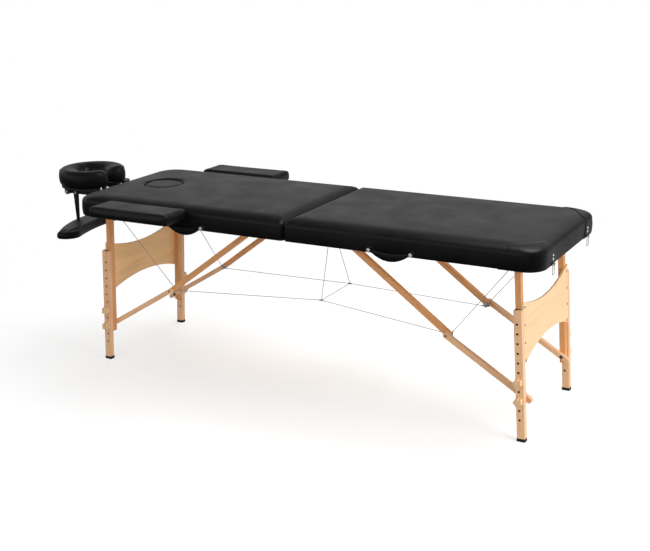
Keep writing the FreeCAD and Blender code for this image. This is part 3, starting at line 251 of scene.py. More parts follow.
def stitches(shape, points, normals, length, radius):
    """Short raised threads laid end to end along points on a surface."""
    for start, end, normal in zip(points[::2], points[1::2], normals[::2]):
        along = (end - start).normalized()
        middle = (start + end) / 2 + normal * radius * 0.4
        rings = []
        for share, size in ((-0.5, 0.35), (-0.36, 0.9), (0.0, 1.0), (0.36, 0.9), (0.5, 0.35)):
            rings.append(circle(middle + along * (length * share), along, radius * size, 6))
        shape.loft(rings)


# Materials

def start_material(name):
    material = bpy.data.materials.new(name)
    material.use_nodes = True
    return material, material.node_tree, material.node_tree.nodes["Principled BSDF"]


def feed(tree, socket, value):
    """Links a socket to another one's output, or gives it a constant."""
    if isinstance(value, bpy.types.NodeSocket):
        tree.links.new(value, socket)
    else:
        socket.default_value = value


def feed_all(tree, node, inputs):
    for key, value in inputs.items():
        feed(tree, node.inputs[key], value)


def add_node(tree, kind, inputs=None, **settings):
    node = tree.nodes.new(kind)
    for key, value in settings.items():
        setattr(node, key, value)
    feed_all(tree, node, inputs or {})
    return node


def scaled(colour, factor):
    return tuple(c * factor for c in colour)


def place(tree, scale, turn=(0.0, 0.0, 0.0)):
    """The object's own coordinates, turned and then stretched."""
    coordinates = add_node(tree, "ShaderNodeTexCoord").outputs["Object"]
    rotated = add_node(tree, "ShaderNodeMapping", {"Vector": coordinates, "Rotation": turn})
    return add_node(tree, "ShaderNodeMapping", {"Vector": rotated.outputs[0], "Scale": scale}).outputs[0]


def clouds(tree, vector, scale, detail=4.0, distortion=0.0):
    made = add_node(tree, "ShaderNodeTexNoise", {"Vector": vector, "Scale": scale, "Detail": detail,
                                                 "Distortion": distortion})
    return made.outputs["Fac"]


def ramp(tree, factor, stops):
    made = add_node(tree, "ShaderNodeValToRGB", {"Fac": factor})
    elements = made.color_ramp.elements
    while len(elements) < len(stops):
        elements.new(0.5)
    for element, (position, colour) in zip(elements, stops):
        element.position = position
        element.color = (*colour, 1.0)
    return made.outputs["Color"]


def span(tree, value, low, high):
    made = add_node(tree, "ShaderNodeMapRange", {"Value": value, "From Min": 0.25, "From Max": 0.75,
                                                 "To Min": low, "To Max": high})
    return made.outputs["Result"]


def math_node(tree, operation, first, second):
    made = add_node(tree, "ShaderNodeMath", operation=operation)
    for socket, value in zip(made.inputs, (first, second)):
        feed(tree, socket, value)
    return made.outputs[0]


def mixed(tree, factor, first, second):
    made = add_node(tree, "ShaderNodeMix", data_type="RGBA")
    tree.links.new(factor, made.inputs["Factor"])
    for key, value in (("A", first), ("B", second)):
        sockets = [s for s in made.inputs if s.name == key and s.type == "RGBA"]
        feed(tree, sockets[0], value if isinstance(value, bpy.types.NodeSocket) else (*value, 1.0))
    return [s for s in made.outputs if s.type == "RGBA"][0]


def bump(tree, shader, height, strength, distance):
    made = add_node(tree, "ShaderNodeBump", {"Height": height, "Strength": strength, "Distance": distance})
    tree.links.new(made.outputs["Normal"], shader.inputs["Normal"])


def vinyl(name, tone):
    """Black coated fabric with a fine pebbled grain."""
    material, tree, shader = start_material(name)
    vector = place(tree, (1.0, 1.0, 1.0))
    broad = clouds(tree, vector, 9.0, 3.0)
    feed_all(tree, shader, {
        "Base Color": ramp(tree, broad, [(0.3, scaled(tone, 0.72)), (0.7, scaled(tone, 1.3))]),
        "Roughness": span(tree, broad, 0.40, 0.52),
        "Specular IOR Level": 0.42,
    })
    cells = add_node(tree, "ShaderNodeTexVoronoi", {"Vector": vector, "Scale": 700.0}).outputs["Distance"]
    pores = clouds(tree, vector, 380.0, 3.0)
    height = math_node(tree, "ADD", cells, pores)
    bump(tree, shader, height, 0.22, 0.0005)
    return material


def wood(name, pale, dark, scale, turn=(0.0, 0.0, 0.0)):
    """Varnished wood with long grain, broad bands and short dark flecks."""
    material, tree, shader = start_material(name)
    vector = place(tree, scale, turn)
    grain = clouds(tree, vector, 1.6, 7.0, 0.5)
    bands = clouds(tree, vector, 0.22, 2.0, 0.2)
    flecks = add_node(tree, "ShaderNodeTexVoronoi", {"Vector": vector, "Scale": 5.0}).outputs["Distance"]
    base = ramp(tree, grain, [(0.25, dark), (0.52, pale), (0.8, tuple(min(1.0, c * 1.06) for c in pale))])
    shade = ramp(tree, bands, [(0.32, scaled(dark, 0.9)), (0.68, pale)])
    toned = mixed(tree, math_node(tree, "MULTIPLY", bands, 0.55), base, shade)
    spots = math_node(tree, "MULTIPLY", math_node(tree, "LESS_THAN", flecks, 0.12), 0.35)
    feed_all(tree, shader, {
        "Base Color": mixed(tree, spots, toned, scaled(dark, 0.7)),
        "Roughness": span(tree, grain, 0.36, 0.5),
        "Coat Weight": 0.12,
        "Coat Roughness": 0.25,
    })
    bump(tree, shader, grain, 0.12, 0.0006)
    return material


def plywood(name, face, back_and_painted_light, outward):
    """Pale birch ply: long grain across the panel, a tan back raised brighter as painted light against the
    shade under the table, thin layers at the edges.
    """
    material, tree, shader = start_material(name)
    vector = place(tree, (34.0, 3.0, 60.0))
    grain = clouds(tree, vector, 1.3, 6.0, 0.9)
    front = ramp(tree, grain, [(0.3, scaled(face, 0.88)), (0.62, face)])
    rear_and_painted_light = ramp(tree, grain, [(0.28, scaled(back_and_painted_light, 0.82)), (0.62, back_and_painted_light)])
    normal = add_node(tree, "ShaderNodeTexCoord").outputs["Normal"]
    split = add_node(tree, "ShaderNodeSeparateXYZ", {"Vector": normal}).outputs["X"]
    facing = math_node(tree, "GREATER_THAN", math_node(tree, "MULTIPLY", split, outward), -0.5)
    # The face turned inwards gets the back colour: tan ply raised with painted light against the shade under
    # the table.
    colour = mixed(tree, facing, rear_and_painted_light, front)
    tilt = (0.0, math.radians(LEG_SPLAY) * outward, 0.0)
    through = place(tree, (430.0, 1.0, 1.0), tilt)
    layers = add_node(tree, "ShaderNodeSeparateXYZ", {"Vector": through}).outputs["X"]
    line = math_node(tree, "LESS_THAN", math_node(tree, "FRACT", layers, 0.0), 0.4)
    edge = math_node(tree, "LESS_THAN", math_node(tree, "ABSOLUTE", split, 0.0), 0.6)
    striped = math_node(tree, "MULTIPLY", math_node(tree, "MULTIPLY", line, edge), 0.45)
    feed_all(tree, shader, {
        "Base Color": mixed(tree, striped, colour, scaled(back_and_painted_light, 0.5)),
        "Roughness": span(tree, grain, 0.36, 0.48),
        "Coat Weight": 0.15,
        "Coat Roughness": 0.22,
    })
    bump(tree, shader, grain, 0.06, 0.0005)
    return material


def metal(name, colour, roughness, scale=(40.0, 40.0, 400.0), bare=1.0):
    """Metal with fine brushing; the less bare it is, the duller its plating."""
    material, tree, shader = start_material(name)
    streaks = clouds(tree, place(tree, scale), 3.0, 5.0)
    stained = clouds(tree, place(tree, (1.0, 1.0, 1.0)), 30.0, 3.0)
    feed_all(tree, shader, {
        "Base Color": ramp(tree, stained, [(0.35, scaled(colour, 0.82)), (0.65, colour)]),
        "Roughness": span(tree, streaks, roughness * 0.75, roughness * 1.3),
        "Metallic": bare,
    })
    bump(tree, shader, streaks, 0.05, 0.0002)
    return material


def coated(name, colour, roughness, grain, strength):
    """Painted, moulded or rubber surface with a fine texture and slight wear."""
    material, tree, shader = start_material(name)
    vector = place(tree, (1.0, 1.0, 1.0))
    fine = clouds(tree, vector, grain, 4.0)
    broad = clouds(tree, vector, 25.0, 3.0)
    feed_all(tree, shader, {
        "Base Color": ramp(tree, broad, [(0.4, colour), (0.75, scaled(colour, 1.5))]),
        "Roughness": span(tree, broad, roughness * 0.85, roughness * 1.15),
    })
    bump(tree, shader, fine, strength, 0.0004)
    return material


def woven(name, colour):
    """Flat webbing with crossing threads."""
    material, tree, shader = start_material(name)
    vector = place(tree, (1.0, 1.0, 1.0))
    threads = []
    for direction in ("X", "Z"):
        wave = add_node(tree, "ShaderNodeTexWave", {"Vector": vector, "Scale": 260.0, "Distortion": 0.4},
                        bands_direction=direction)
        threads.append(wave.outputs["Fac"])
    weave = math_node(tree, "MULTIPLY", threads[0], threads[1])
    feed_all(tree, shader, {
        "Base Color": ramp(tree, weave, [(0.1, colour), (0.8, scaled(colour, 2.0))]),
        "Roughness": 0.8,
    })
    bump(tree, shader, weave, 0.4, 0.0005)
    return material


BRACE_SLOPE = math.radians(53.6)
LEG_SPLAY = 3.34
ALONG_Z = (65.0, 65.0, 4.0)
ALONG_X = (4.0, 65.0, 65.0)
BEECH_PALE = (0.74, 0.36, 0.145)
BEECH_DARK = (0.53, 0.215, 0.073)
LIGHT_PALE = (0.84, 0.51, 0.29)
LIGHT_DARK = (0.66, 0.36, 0.18)
PLY_FACE = (0.88, 0.60, 0.34)
# Back face colour: tan ply raised to the face's brightness as painted light, making up for the shade under
# the table.
PLY_BACK_AND_PAINTED_LIGHT = (0.97, 0.60, 0.285)

cover = vinyl("black_vinyl", (0.0030, 0.0030, 0.0033))
cover_small = vinyl("black_vinyl_small", (0.0028, 0.0028, 0.0030))
# Matte near-black for the dark line along the corner patch seams: painted shade.
seam_shadow = coated("seam_shadow", (0.0015, 0.0015, 0.0016), 0.95, 900.0, 0.3)
thread = coated("black_thread", (0.012, 0.012, 0.012), 0.6, 900.0, 0.3)
leg_wood = wood("beech_legs", BEECH_PALE, BEECH_DARK, ALONG_Z)
lower_wood = wood("pale_beech_legs", LIGHT_PALE, LIGHT_DARK, ALONG_Z)
foot_brace_wood = wood("beech_foot_braces", BEECH_PALE, BEECH_DARK, ALONG_Z, (0.0, BRACE_SLOPE, 0.0))
head_brace_wood = wood("beech_head_braces", BEECH_PALE, BEECH_DARK, ALONG_Z, (0.0, -BRACE_SLOPE, 0.0))
foot_strut_wood = wood("pale_foot_braces", LIGHT_PALE, LIGHT_DARK, ALONG_Z, (0.0, BRACE_SLOPE, 0.0))
head_strut_wood = wood("pale_head_braces", LIGHT_PALE, LIGHT_DARK, ALONG_Z, (0.0, -BRACE_SLOPE, 0.0))
rail_wood = wood("beech_rails", LIGHT_PALE, LIGHT_DARK, ALONG_X)
knob_wood = wood("knob_wood", (0.80, 0.54, 0.30), (0.63, 0.40, 0.20), (60.0, 12.0, 60.0))
foot_ply = plywood("foot_panel_ply", PLY_FACE, PLY_BACK_AND_PAINTED_LIGHT, 1.0)
head_ply = plywood("head_panel_ply", PLY_FACE, PLY_BACK_AND_PAINTED_LIGHT, -1.0)
deck_ply = wood("deck_ply", (0.78, 0.58, 0.34), (0.62, 0.42, 0.22), ALONG_X)
# Near-black wood: painted shade for the insides of the peg holes.
hole_painted_shade = wood("peg_hole_painted_shade", (0.016, 0.008, 0.005), (0.008, 0.004, 0.003), ALONG_Z)
steel = metal("steel", (0.78, 0.78, 0.79), 0.42, bare=0.55)
dark_steel = metal("dark_steel", (0.46, 0.42, 0.37), 0.5)
bright_steel = metal("bright_steel", (0.86, 0.86, 0.87), 0.24, bare=0.5)
cable_steel = metal("cable_steel", (0.52, 0.53, 0.54), 0.5, (300.0, 300.0, 300.0), bare=0.5)
black_paint = coated("black_paint", (0.014, 0.014, 0.014), 0.38, 600.0, 0.08)
black_plastic = coated("black_plastic", (0.013, 0.013, 0.014), 0.48, 450.0, 0.15)
rubber = coated("black_rubber", (0.016, 0.015, 0.015), 0.75, 500.0, 0.3)
webbing = woven("black_webbing", (0.010, 0.010, 0.011))

ENDS = ("foot", "head")
CORNERS = ("near_foot", "far_foot", "near_head", "far_head")
END_FINISHES = {
    "upper_legs": leg_wood, "frame": rail_wood, "deck": deck_ply, "leg_fasteners": dark_steel,
    "frame_fittings": steel, "brace_brackets": steel, "handle_fittings": black_paint,
}
CORNER_FINISHES = {
    "lower_leg": lower_wood, "rubber_foot": rubber, "upper_knob": knob_wood, "lower_knob": knob_wood,
}
FINISHES = {
    "foot_upper_braces": foot_brace_wood, "head_upper_braces": head_brace_wood,
    "foot_lower_braces": foot_strut_wood, "head_lower_braces": head_strut_wood,
    "foot_end_panel": foot_ply, "head_end_panel": head_ply,
    "hinge_links": steel, "latch_plates": dark_steel, "latch_catches": dark_steel,
    "near_latch_bail": bright_steel, "far_latch_bail": bright_steel,
    "headrest_base": black_plastic, "headrest_platform": black_plastic, "headrest_rods": bright_steel,
    "near_armrest_pins": steel, "far_armrest_pins": steel,
}
for places, finishes in ((ENDS, END_FINISHES), (CORNERS, CORNER_FINISHES)):
    for place_name in places:
        for part, material in finishes.items():
            FINISHES[place_name + "_" + part] = material
for name, material in FINISHES.items():
    nodes[name].data.materials.clear()
    nodes[name].data.materials.append(material)


def paint_hole_shade(name, end, sign):
    """Paints shade on the walls of a leg's peg holes: a near-black wood stands in for the shade inside them.
    """
    pivot = joints[end + "_leg_fold"]["pos_m"]
    mesh = nodes[name].data
    mesh.materials.append(hole_painted_shade)
    for face in mesh.polygons:
        axis_x = pivot[0] + sign * (pivot[2] - face.center.z) * math.tan(math.radians(LEG_SPLAY))
        if abs(face.normal.y) < 0.4 and abs(face.center.x - axis_x) < PEG_HOLE_RADIUS:
            face.material_index = 1


for end, sign in (("foot", 1.0), ("head", -1.0)):
    for side in ("near", "far"):
        paint_hole_shade(side + "_" + end + "_lower_leg", end, sign)


def soften(name, width):
    """Slightly rounds the sharp edges of a carried-over piece."""
    edge = nodes[name].modifiers.new("edges", "BEVEL")
    edge.width = width
    edge.segments = 2
    edge.limit_method = "ANGLE"
    edge.angle_limit = math.radians(50.0)
    edge.harden_normals = False


for end in ENDS:
    for part in ("upper_legs", "upper_braces", "lower_braces", "end_panel"):
        soften(end + "_" + part, 0.0010)
for corner in CORNERS:
    for part in CORNER_FINISHES:
        soften(corner + "_" + part, 0.0012)


# Soft pieces

def arc_points(centre_x, centre_y, radius, start, turn, steps):
    points = []
    for i in range(steps + 1):
        angle = math.radians(start + turn * i / steps)
        points.append((centre_x + radius * math.cos(angle), centre_y + radius * math.sin(angle)))
    return points


def divided(start, end, steps):
    """Points strictly between two corners."""
    points = []
    for i in range(1, steps):
        share = i / steps
        points.append((start[0] + (end[0] - start[0]) * share, start[1] + (end[1] - start[1]) * share))
    return points


def rounded_ring(x0, x1, y0, y1, radius_low, radius_high, steps=(12, 64, 40), dart=0.0):
    """Level rounded rectangle, counted the same for every size; a dart draws in its low X corners."""
    corner, length, width = steps
    a, b = radius_low, radius_high
    corners = [
        arc_points(x1 - b, y0 + b, b, -90, 90, corner),
        arc_points(x1 - b, y1 - b, b, 0, 90, corner),
        arc_points(x0 + a, y1 - a, a, 90, 90, corner),
        arc_points(x0 + a, y0 + a, a, 180, 90, corner),
    ]
    middle_y = (y0 + y1) / 2
    for arc in corners[2:]:
        for i, (x, y) in enumerate(arc):
            depth = dart * math.exp(-((i - corner / 2) / 1.3) ** 2)
            inward_x, inward_y = (0.7 * depth, 0.7 * depth * math.copysign(1.0, middle_y - y))
            arc[i] = (x + inward_x, y + inward_y)
    between = (width, length, width, length)
    points = []
    for i, arc in enumerate(corners):
        points += arc
        points += divided(arc[-1], corners[(i + 1) % 4][0], between[i])
    return points


class Section:
    """Surface of one padded section, laid out as the foot one and mirrored for the head."""

    def __init__(self, node, mirrored):
        low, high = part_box(node)
        self.mirrored = mirrored
        self.seam = -high.x if mirrored else low.x
        self.end = -low.x if mirrored else high.x
        self.half_width = high.y
        self.bottom = low.z
        self.top = high.z
        self.edge_top = self.top - SECTION_CROWN
        self.path = self.side_path()
        self.path_length = self.path[-1][0]

    def side_path(self):
        """(length so far, inset, height) from the hem up the side and over the rolled edge."""
        shoulder = self.edge_top - SECTION_ROLL_HEIGHT
        places = []
        for share in (0.0, 0.3, 0.65, 1.0):
            places.append((SECTION_HEM_INSET * (1 - share) ** 2, self.bottom + SECTION_HEM * share))
        side = shoulder - self.bottom - SECTION_HEM
        for i in range(1, 7):
            swelling = SECTION_SIDE_SWELL * math.sin(math.pi * i / 6)
            places.append((-swelling, self.bottom + SECTION_HEM + side * i / 6))
        upward, inward = ROLL_FULLNESS
        for i in range(1, 17):
            angle = math.pi / 2 * i / 16
            inset = SECTION_ROLL * (1 - max(0.0, math.cos(angle)) ** (2 / inward))
            places.append((inset, shoulder + SECTION_ROLL_HEIGHT * math.sin(angle) ** (2 / upward)))
        path = [(0.0, *places[0])]
        for (inset, z), (next_inset, next_z) in zip(places, places[1:]):
            path.append((path[-1][0] + math.hypot(next_inset - inset, next_z - z), next_inset, next_z))
        return path

    def profile(self, distance):
        """(inset, height) at a distance up the side, over the edge and on to the top."""
        if distance >= self.path_length:
            run = distance - self.path_length
            return SECTION_ROLL + run, self.edge_top + self.crown(run)
        for (low, inset, z), (high, next_inset, next_z) in zip(self.path, self.path[1:]):
            if distance <= high:
                share = (distance - low) / (high - low)
                return inset + (next_inset - inset) * share, z + (next_z - z) * share

    def crown(self, run):
        share = min(1.0, run / SECTION_CROWN_RUN)
        return SECTION_CROWN * (1 - (1 - share) ** 2)

    def sizes(self, inset):
        inwards = max(0.0, inset)
        seam = self.seam + inwards * SEAM_EDGE_SHARE
        tight = min(inwards, DECK_CLEARANCE)
        radius = END_CORNER - tight + (inwards - tight) * END_CORNER_GROWTH
        return (seam, self.end - inset, inset - self.half_width, self.half_width - inset,
                max(SEAM_CORNER - inwards / 2, SEAM_CORNER / 3), radius)

    def put(self, x, y, z):
        return Vector((-x if self.mirrored else x, y, z))

    def level_ring(self, inset, z):
        risen = (z - self.bottom) / (self.edge_top - self.bottom)
        share = min(1.0, max(0.0, (risen - SEAM_DART_START) / (1.0 - SEAM_DART_START)))
        dart = SEAM_DART * max(0.0, math.sin(math.pi * share))
        return [self.put(x, y, z) for x, y in rounded_ring(*self.sizes(inset), dart=dart)]

    def flat_ring(self, inset):
        """Ring under the cover, the same distance in on all sides."""
        return rounded_ring(self.seam + inset, self.end - inset, inset - self.half_width,
                            self.half_width - inset, max(SEAM_CORNER - inset, SEAM_CORNER / 3),
                            END_CORNER - inset)

    def corner_point(self, along, distance):
        """Point of the surface near the low-Y end corner, by its place round the corner and up the side."""
        inset, z = self.profile(distance)
        _, x1, y0, _, _, radius = self.sizes(inset)
        half = END_CORNER * math.pi / 4
        centre_x = x1 - radius
        centre_y = y0 + radius
        if along < -half:
            return self.put(centre_x + along + half, y0, z)
        if along > half:
            return self.put(x1, centre_y + along - half, z)
        angle = math.radians(-45.0) + along / half * math.radians(45.0)
        return self.put(centre_x + radius * math.cos(angle), centre_y + radius * math.sin(angle), z)


def ripple(point, size):
    """Slow unevenness of stretched vinyl over foam."""
    slow = noise.noise(point * 7.0)
    fine = noise.noise(point * 23.0 + Vector((5.0, 3.0, 1.0)))
    return size * (slow + 0.35 * fine)


def level_fill(shape, outline, holes, heights, grid):
    """Triangles over a level area with round holes; returns the new indices in order of the rings."""
    rings = [outline] + holes
    points = []
    edges = []
    for ring in rings:
        first = len(points)
        points += [Vector((x, y)) for x, y in ring]
        edges += [(first + i, first + (i + 1) % len(ring)) for i in range(len(ring))]
    xs = [p[0] for p in outline]
    ys = [p[1] for p in outline]
    columns = int((max(xs) - min(xs)) / grid)
    rows = int((max(ys) - min(ys)) / grid)
    for i in range(1, columns):
        for j in range(1, rows):
            spot = Vector((min(xs) + (max(xs) - min(xs)) * i / columns,
                           min(ys) + (max(ys) - min(ys)) * j / rows))
            if clear_of(spot, rings, grid):
                points.append(spot)
    flat, _, faces, origins, _, _ = delaunay_2d_cdt(points, edges, [], 1, 1e-7)
    first = len(shape.vertices)
    shape.vertices.extend(heights(p.x, p.y) for p in flat)
    centres = [(sum(p[0] for p in hole) / len(hole), sum(p[1] for p in hole) / len(hole)) for hole in holes]
    radii = [math.hypot(hole[0][0] - c[0], hole[0][1] - c[1]) for hole, c in zip(holes, centres)]
    for face in faces:
        middle = sum((flat[i] for i in face), Vector((0.0, 0.0))) / len(face)
        inside = any(math.hypot(middle.x - c[0], middle.y - c[1]) < r for c, r in zip(centres, radii))
        if not inside:
            shape.faces.append(tuple(first + i for i in face))
    place_of = {}
    for index, sources in enumerate(origins):
        for source in sources:
            place_of[source] = first + index
    return [place_of[i] for i in range(sum(len(r) for r in rings))]


def clear_of(spot, rings, grid):
    """Inside the first ring, outside the others, and not crowding any of their points."""
    for number, ring in enumerate(rings):
        inside = False
        nearest = 1.0
        for (ax, ay), (bx, by) in zip(ring, ring[1:] + ring[:1]):
            if (ay > spot.y) != (by > spot.y) and spot.x < (bx - ax) * (spot.y - ay) / (by - ay) + ax:
                inside = not inside
            nearest = min(nearest, math.hypot(ax - spot.x, ay - spot.y))
        if inside != (number == 0) or nearest < grid * 0.6:
            return False
    return True


def section_pad(name, node, mirrored, hole_x=None):
    """Foam and cover of one section as a closed form that fits over its deck and rails."""
    section = Section(node, mirrored)
    shape = Shape()
    deck_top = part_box("foot_deck")[1].z + DECK_GAP
    flat = section.flat_ring(SECTION_SKIN)
    inner_low = shape.ring([section.put(x, y, section.bottom) for x, y in flat])
    rings = [shape.ring(section.level_ring(inset, z)) for _, inset, z in section.path]
    shape.bridge(inner_low, rings[0])
    for low, high in zip(rings, rings[1:]):
        shape.bridge(low, high)
    top_outline = rounded_ring(*section.sizes(SECTION_ROLL))
    seam_edge, end_edge, _, side_edge, _, corner = section.sizes(SECTION_ROLL)

    def top_point(x, y):
        to_end = end_edge - x
        to_side = side_edge - abs(y)
        rounded = corner - math.hypot(corner - to_end, corner - to_side)
        run = min(x - seam_edge, rounded if max(to_end, to_side) < corner else min(to_end, to_side))
        base = section.put(x, y, section.edge_top + section.crown(max(0.0, run)))
        fade = min(1.0, max(0.0, run) / RIPPLE_FADE)
        return base + Vector((0.0, 0.0, ripple(base, SECTION_RIPPLE) * fade))

    holes = []
    bottom_holes = []
    if hole_x is not None:
        x = -hole_x if mirrored else hole_x
        round_hole = (0, 360 - FACE_HOLE_STEP, FACE_HOLE_POINTS - 1)
        holes = [arc_points(x, 0.0, FACE_HOLE_RADIUS + FACE_HOLE_ROLL, *round_hole)]
        bottom_holes = [arc_points(x, 0.0, FACE_HOLE_RADIUS, *round_hole)]
    top = level_fill(shape, top_outline, holes, top_point, TOP_GRID)
    shape.bridge(rings[-1], top[:len(top_outline)])
    inner_top_rings = level_fill(shape, flat, bottom_holes, lambda x, y: section.put(x, y, deck_top),
                                 UNDERSIDE_GRID)
    shape.bridge(inner_top_rings[:len(flat)], inner_low)
    if hole_x is not None:
        lip = top[len(top_outline):]
        floor_ring = inner_top_rings[len(flat):]
        for share in (0.35, 0.7, 1.0):
            turn = share * math.pi / 2
            radius = FACE_HOLE_RADIUS + FACE_HOLE_ROLL * (1 - math.sin(turn))
            drop = FACE_HOLE_ROLL * (1 - math.cos(turn))
            ring = []
            for i in range(len(lip)):
                angle = math.radians(FACE_HOLE_STEP * i)
                ring.append(section.put(x + radius * math.cos(angle), radius * math.sin(angle),
                                        section.top - drop))
            lower = shape.ring(ring)
            shape.bridge(lip, lower)
            lip = lower
        shape.bridge(lip, floor_ring)
    made = shape.object(name, cover)
    tidy_mesh(made)
    return section, made


def tidy_mesh(obj):
    """Joins doubled points and turns all faces outwards."""
    work = bmesh.new()
    work.from_mesh(obj.data)
    bmesh.ops.remove_doubles(work, verts=work.verts, dist=1e-6)
    bmesh.ops.recalc_face_normals(work, faces=work.faces)
    work.to_mesh(obj.data)
    work.free()
    smooth(obj.data)
    obj.data.update()


def corner_patch(name, section, side):
    """Sewn reinforcing patch over an end corner, with a row of stitches along its curved edge."""
    columns, rows = 49, 30
    shape = Shape()
    seam_points, seam_normals, borders = [], [], []
    grid = []
    for i in range(columns):
        along = PATCH_LENGTH * (2.0 * i / (columns - 1) - 1.0)
        reach = PATCH_REACH * math.sqrt(max(0.04, 1.0 - (along / (PATCH_LENGTH * 1.03)) ** 2))
        borders.append((along, reach))
        column = []
        for j in range(rows):
            distance = reach * j / (rows - 1)
            point = section.corner_point(along, distance)
            across = (section.corner_point(along + PATCH_PROBE, distance)
                      - section.corner_point(along - PATCH_PROBE, distance))
            up = (section.corner_point(along, distance + PATCH_PROBE)
                  - section.corner_point(along, max(0.0, distance - PATCH_PROBE)))
            normal = across.cross(up).normalized()
            border = max(0.0, min(reach - distance, (PATCH_LENGTH - abs(along)) * 1.5))
            rise = PATCH_RISE * min(1.0, border / PATCH_EDGE) ** 0.5 - PATCH_SINK
            column.append(point + normal * rise)
            if j == rows - 2:
                seam_points.append(section.corner_point(along, reach - PATCH_STITCH_INSET)
                                   + normal * PATCH_RISE)
                seam_normals.append(normal)
        grid.append(shape.ring(flipped(column, side)))
    for left, right in zip(grid, grid[1:]):
        shape.bridge(left, right, closed=False)
    made = shape.object(name, cover)
    shell = made.modifiers.new("thickness", "SOLIDIFY")
    shell.thickness = PATCH_SHEET
    shell.offset = -side
    # A matte black tube along the patch's curved edge: painted shade for the groove of its seam.
    seam_shade_shape = Shape()
    rim = [section.corner_point(along, reach) for along, reach in borders]
    bent_tube(seam_shade_shape, flipped(rim, side), SEAM_SHADE_RADIUS)
    line = seam_shade_shape.object(name + "_seam_shade", seam_shadow)
    sewn = Shape()
    stitches(sewn, flipped(seam_points, side), flipped(seam_normals, side), PATCH_STITCH, STITCH_RADIUS)
    seam = sewn.object(name + "_stitches", thread)
    for piece in (made, seam, line):
        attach(piece, "foot_section")


def voxel_copy(obj, size):
    """The object's mesh rebuilt from voxels of one size."""
    remesh = obj.modifiers.new("voxels", "REMESH")
    remesh.mode = "VOXEL"
    remesh.voxel_size = size
    rebuilt = bpy.data.meshes.new_from_object(obj.evaluated_get(bpy.context.evaluated_depsgraph_get()))
    obj.modifiers.clear()
    obj.data = rebuilt
    smooth(obj.data)


def swell(obj, pressure, cap, pinned):
    """Lets the cover fill out under pressure, each point moving no further than the cap."""
    group = obj.vertex_groups.new(name="held")
    group.add([v.index for v in obj.data.vertices if pinned(v.co)], 1.0, "REPLACE")
    cloth = obj.modifiers.new("swell", "CLOTH")
    settings = cloth.settings
    settings.quality = 4
    settings.mass = 0.3
    settings.tension_stiffness = 18.0
    settings.compression_stiffness = 18.0
    settings.shear_stiffness = 8.0
    settings.bending_stiffness = 0.6
    settings.use_pressure = True
    settings.uniform_pressure_force = pressure
    settings.vertex_group_mass = "held"
    settings.effector_weights.gravity = 0.0
    cloth.collision_settings.use_collision = False
    cloth.point_cache.frame_start = 1
    cloth.point_cache.frame_end = SWELL_FRAMES
    for step in range(1, SWELL_FRAMES + 1):
        scene.frame_set(step)
    evaluated = obj.evaluated_get(bpy.context.evaluated_depsgraph_get())
    places = [v.co.copy() for v in evaluated.data.vertices]
    obj.modifiers.remove(cloth)
    obj.vertex_groups.clear()
    for vertex, moved in zip(obj.data.vertices, places):
        shift = moved - vertex.co
        if shift.length > cap:
            shift *= cap / shift.length
        vertex.co += shift
    scene.frame_set(1)


def cushion(name, node, body, rings, pressure, cap, voxel=VOXEL):
    """Stuffed piece: lofted a little small, then filled out by a cloth simulation."""
    shape = Shape()
    shape.loft(rings)
    made = shape.object(name, cover_small)
    tidy_mesh(made)
    voxel_copy(made, voxel)
    base = min(v.co.z for v in made.data.vertices)
    swell(made, pressure, cap, lambda place: place.z < base + PINNED_HEIGHT)
    smooth(made.data)
    finer = made.modifiers.new("finer", "SUBSURF")
    finer.levels = 1
    finer.render_levels = 1
    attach(made, body)
    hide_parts(node)
    return made


def welt(name, host, points, radius, body):
    """Thin sewn edge laid on a cushion's surface."""
    on_surface = []
    for point in points:
        _, spot, normal, _ = host.closest_point_on_mesh(point)
        on_surface.append(spot + normal * (radius * 0.3))
    shape = Shape()
    bent_tube(shape, on_surface, radius, closed=True)
    made = shape.object(name, cover_small)
    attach(made, body)


face_plug_low, face_plug_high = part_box("face_plug")
FACE_HOLE_X = (face_plug_low.x + face_plug_high.x) / 2

foot_section, foot_pad = section_pad("foot_padding", "foot_pad", False)
_, head_pad = section_pad("head_padding", "head_pad", True, FACE_HOLE_X)
for piece, node, body in ((foot_pad, "foot_pad", "foot_section"), (head_pad, "head_pad", "head_section")):
    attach(piece, body)
    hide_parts(node)
corner_patch("near_corner_patch", foot_section, 1.0)
corner_patch("far_corner_patch", foot_section, -1.0)


# Face plug

PLUG_POINTS = 72
PLUG_CROWN = 0.0015
PLUG_EDGE = ((PLUG_GAP, 0.013), (0.0018, 0.0095), (0.0038, 0.0064), (0.0072, 0.0038), (0.012, 0.0020),
             (0.020, 0.0009), (0.036, 0.0002), (0.055, 0.0))


def plug_rings():
    """Round plug, drawn in at its lower edge and rolled over at its upper one."""
    radius = (face_plug_high.x - face_plug_low.x) / 2
    bottom = face_plug_low.z
    crest = face_plug_high.z - PLUG_CROWN
    profile = [(radius - 0.003, bottom), (radius - PLUG_GAP, bottom + 0.003)]
    profile += [(radius - inset, crest - drop) for inset, drop in PLUG_EDGE]
    rings = []
    for size, z in profile:
        centre = Vector((FACE_HOLE_X, 0.0, z))
        rings.append(circle_about(centre, X_AXIS, Y_AXIS, size, PLUG_POINTS))
    return rings


plug_shape = Shape()
plug_shape.loft(plug_rings())
plug = plug_shape.object("face_plug_cushion", cover)
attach(plug, "face_plug")
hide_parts("face_plug")


# Headrest cushion

headrest_low, headrest_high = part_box("headrest_cushion")
HEADREST_X = headrest_low.x + HEADREST_OUTER


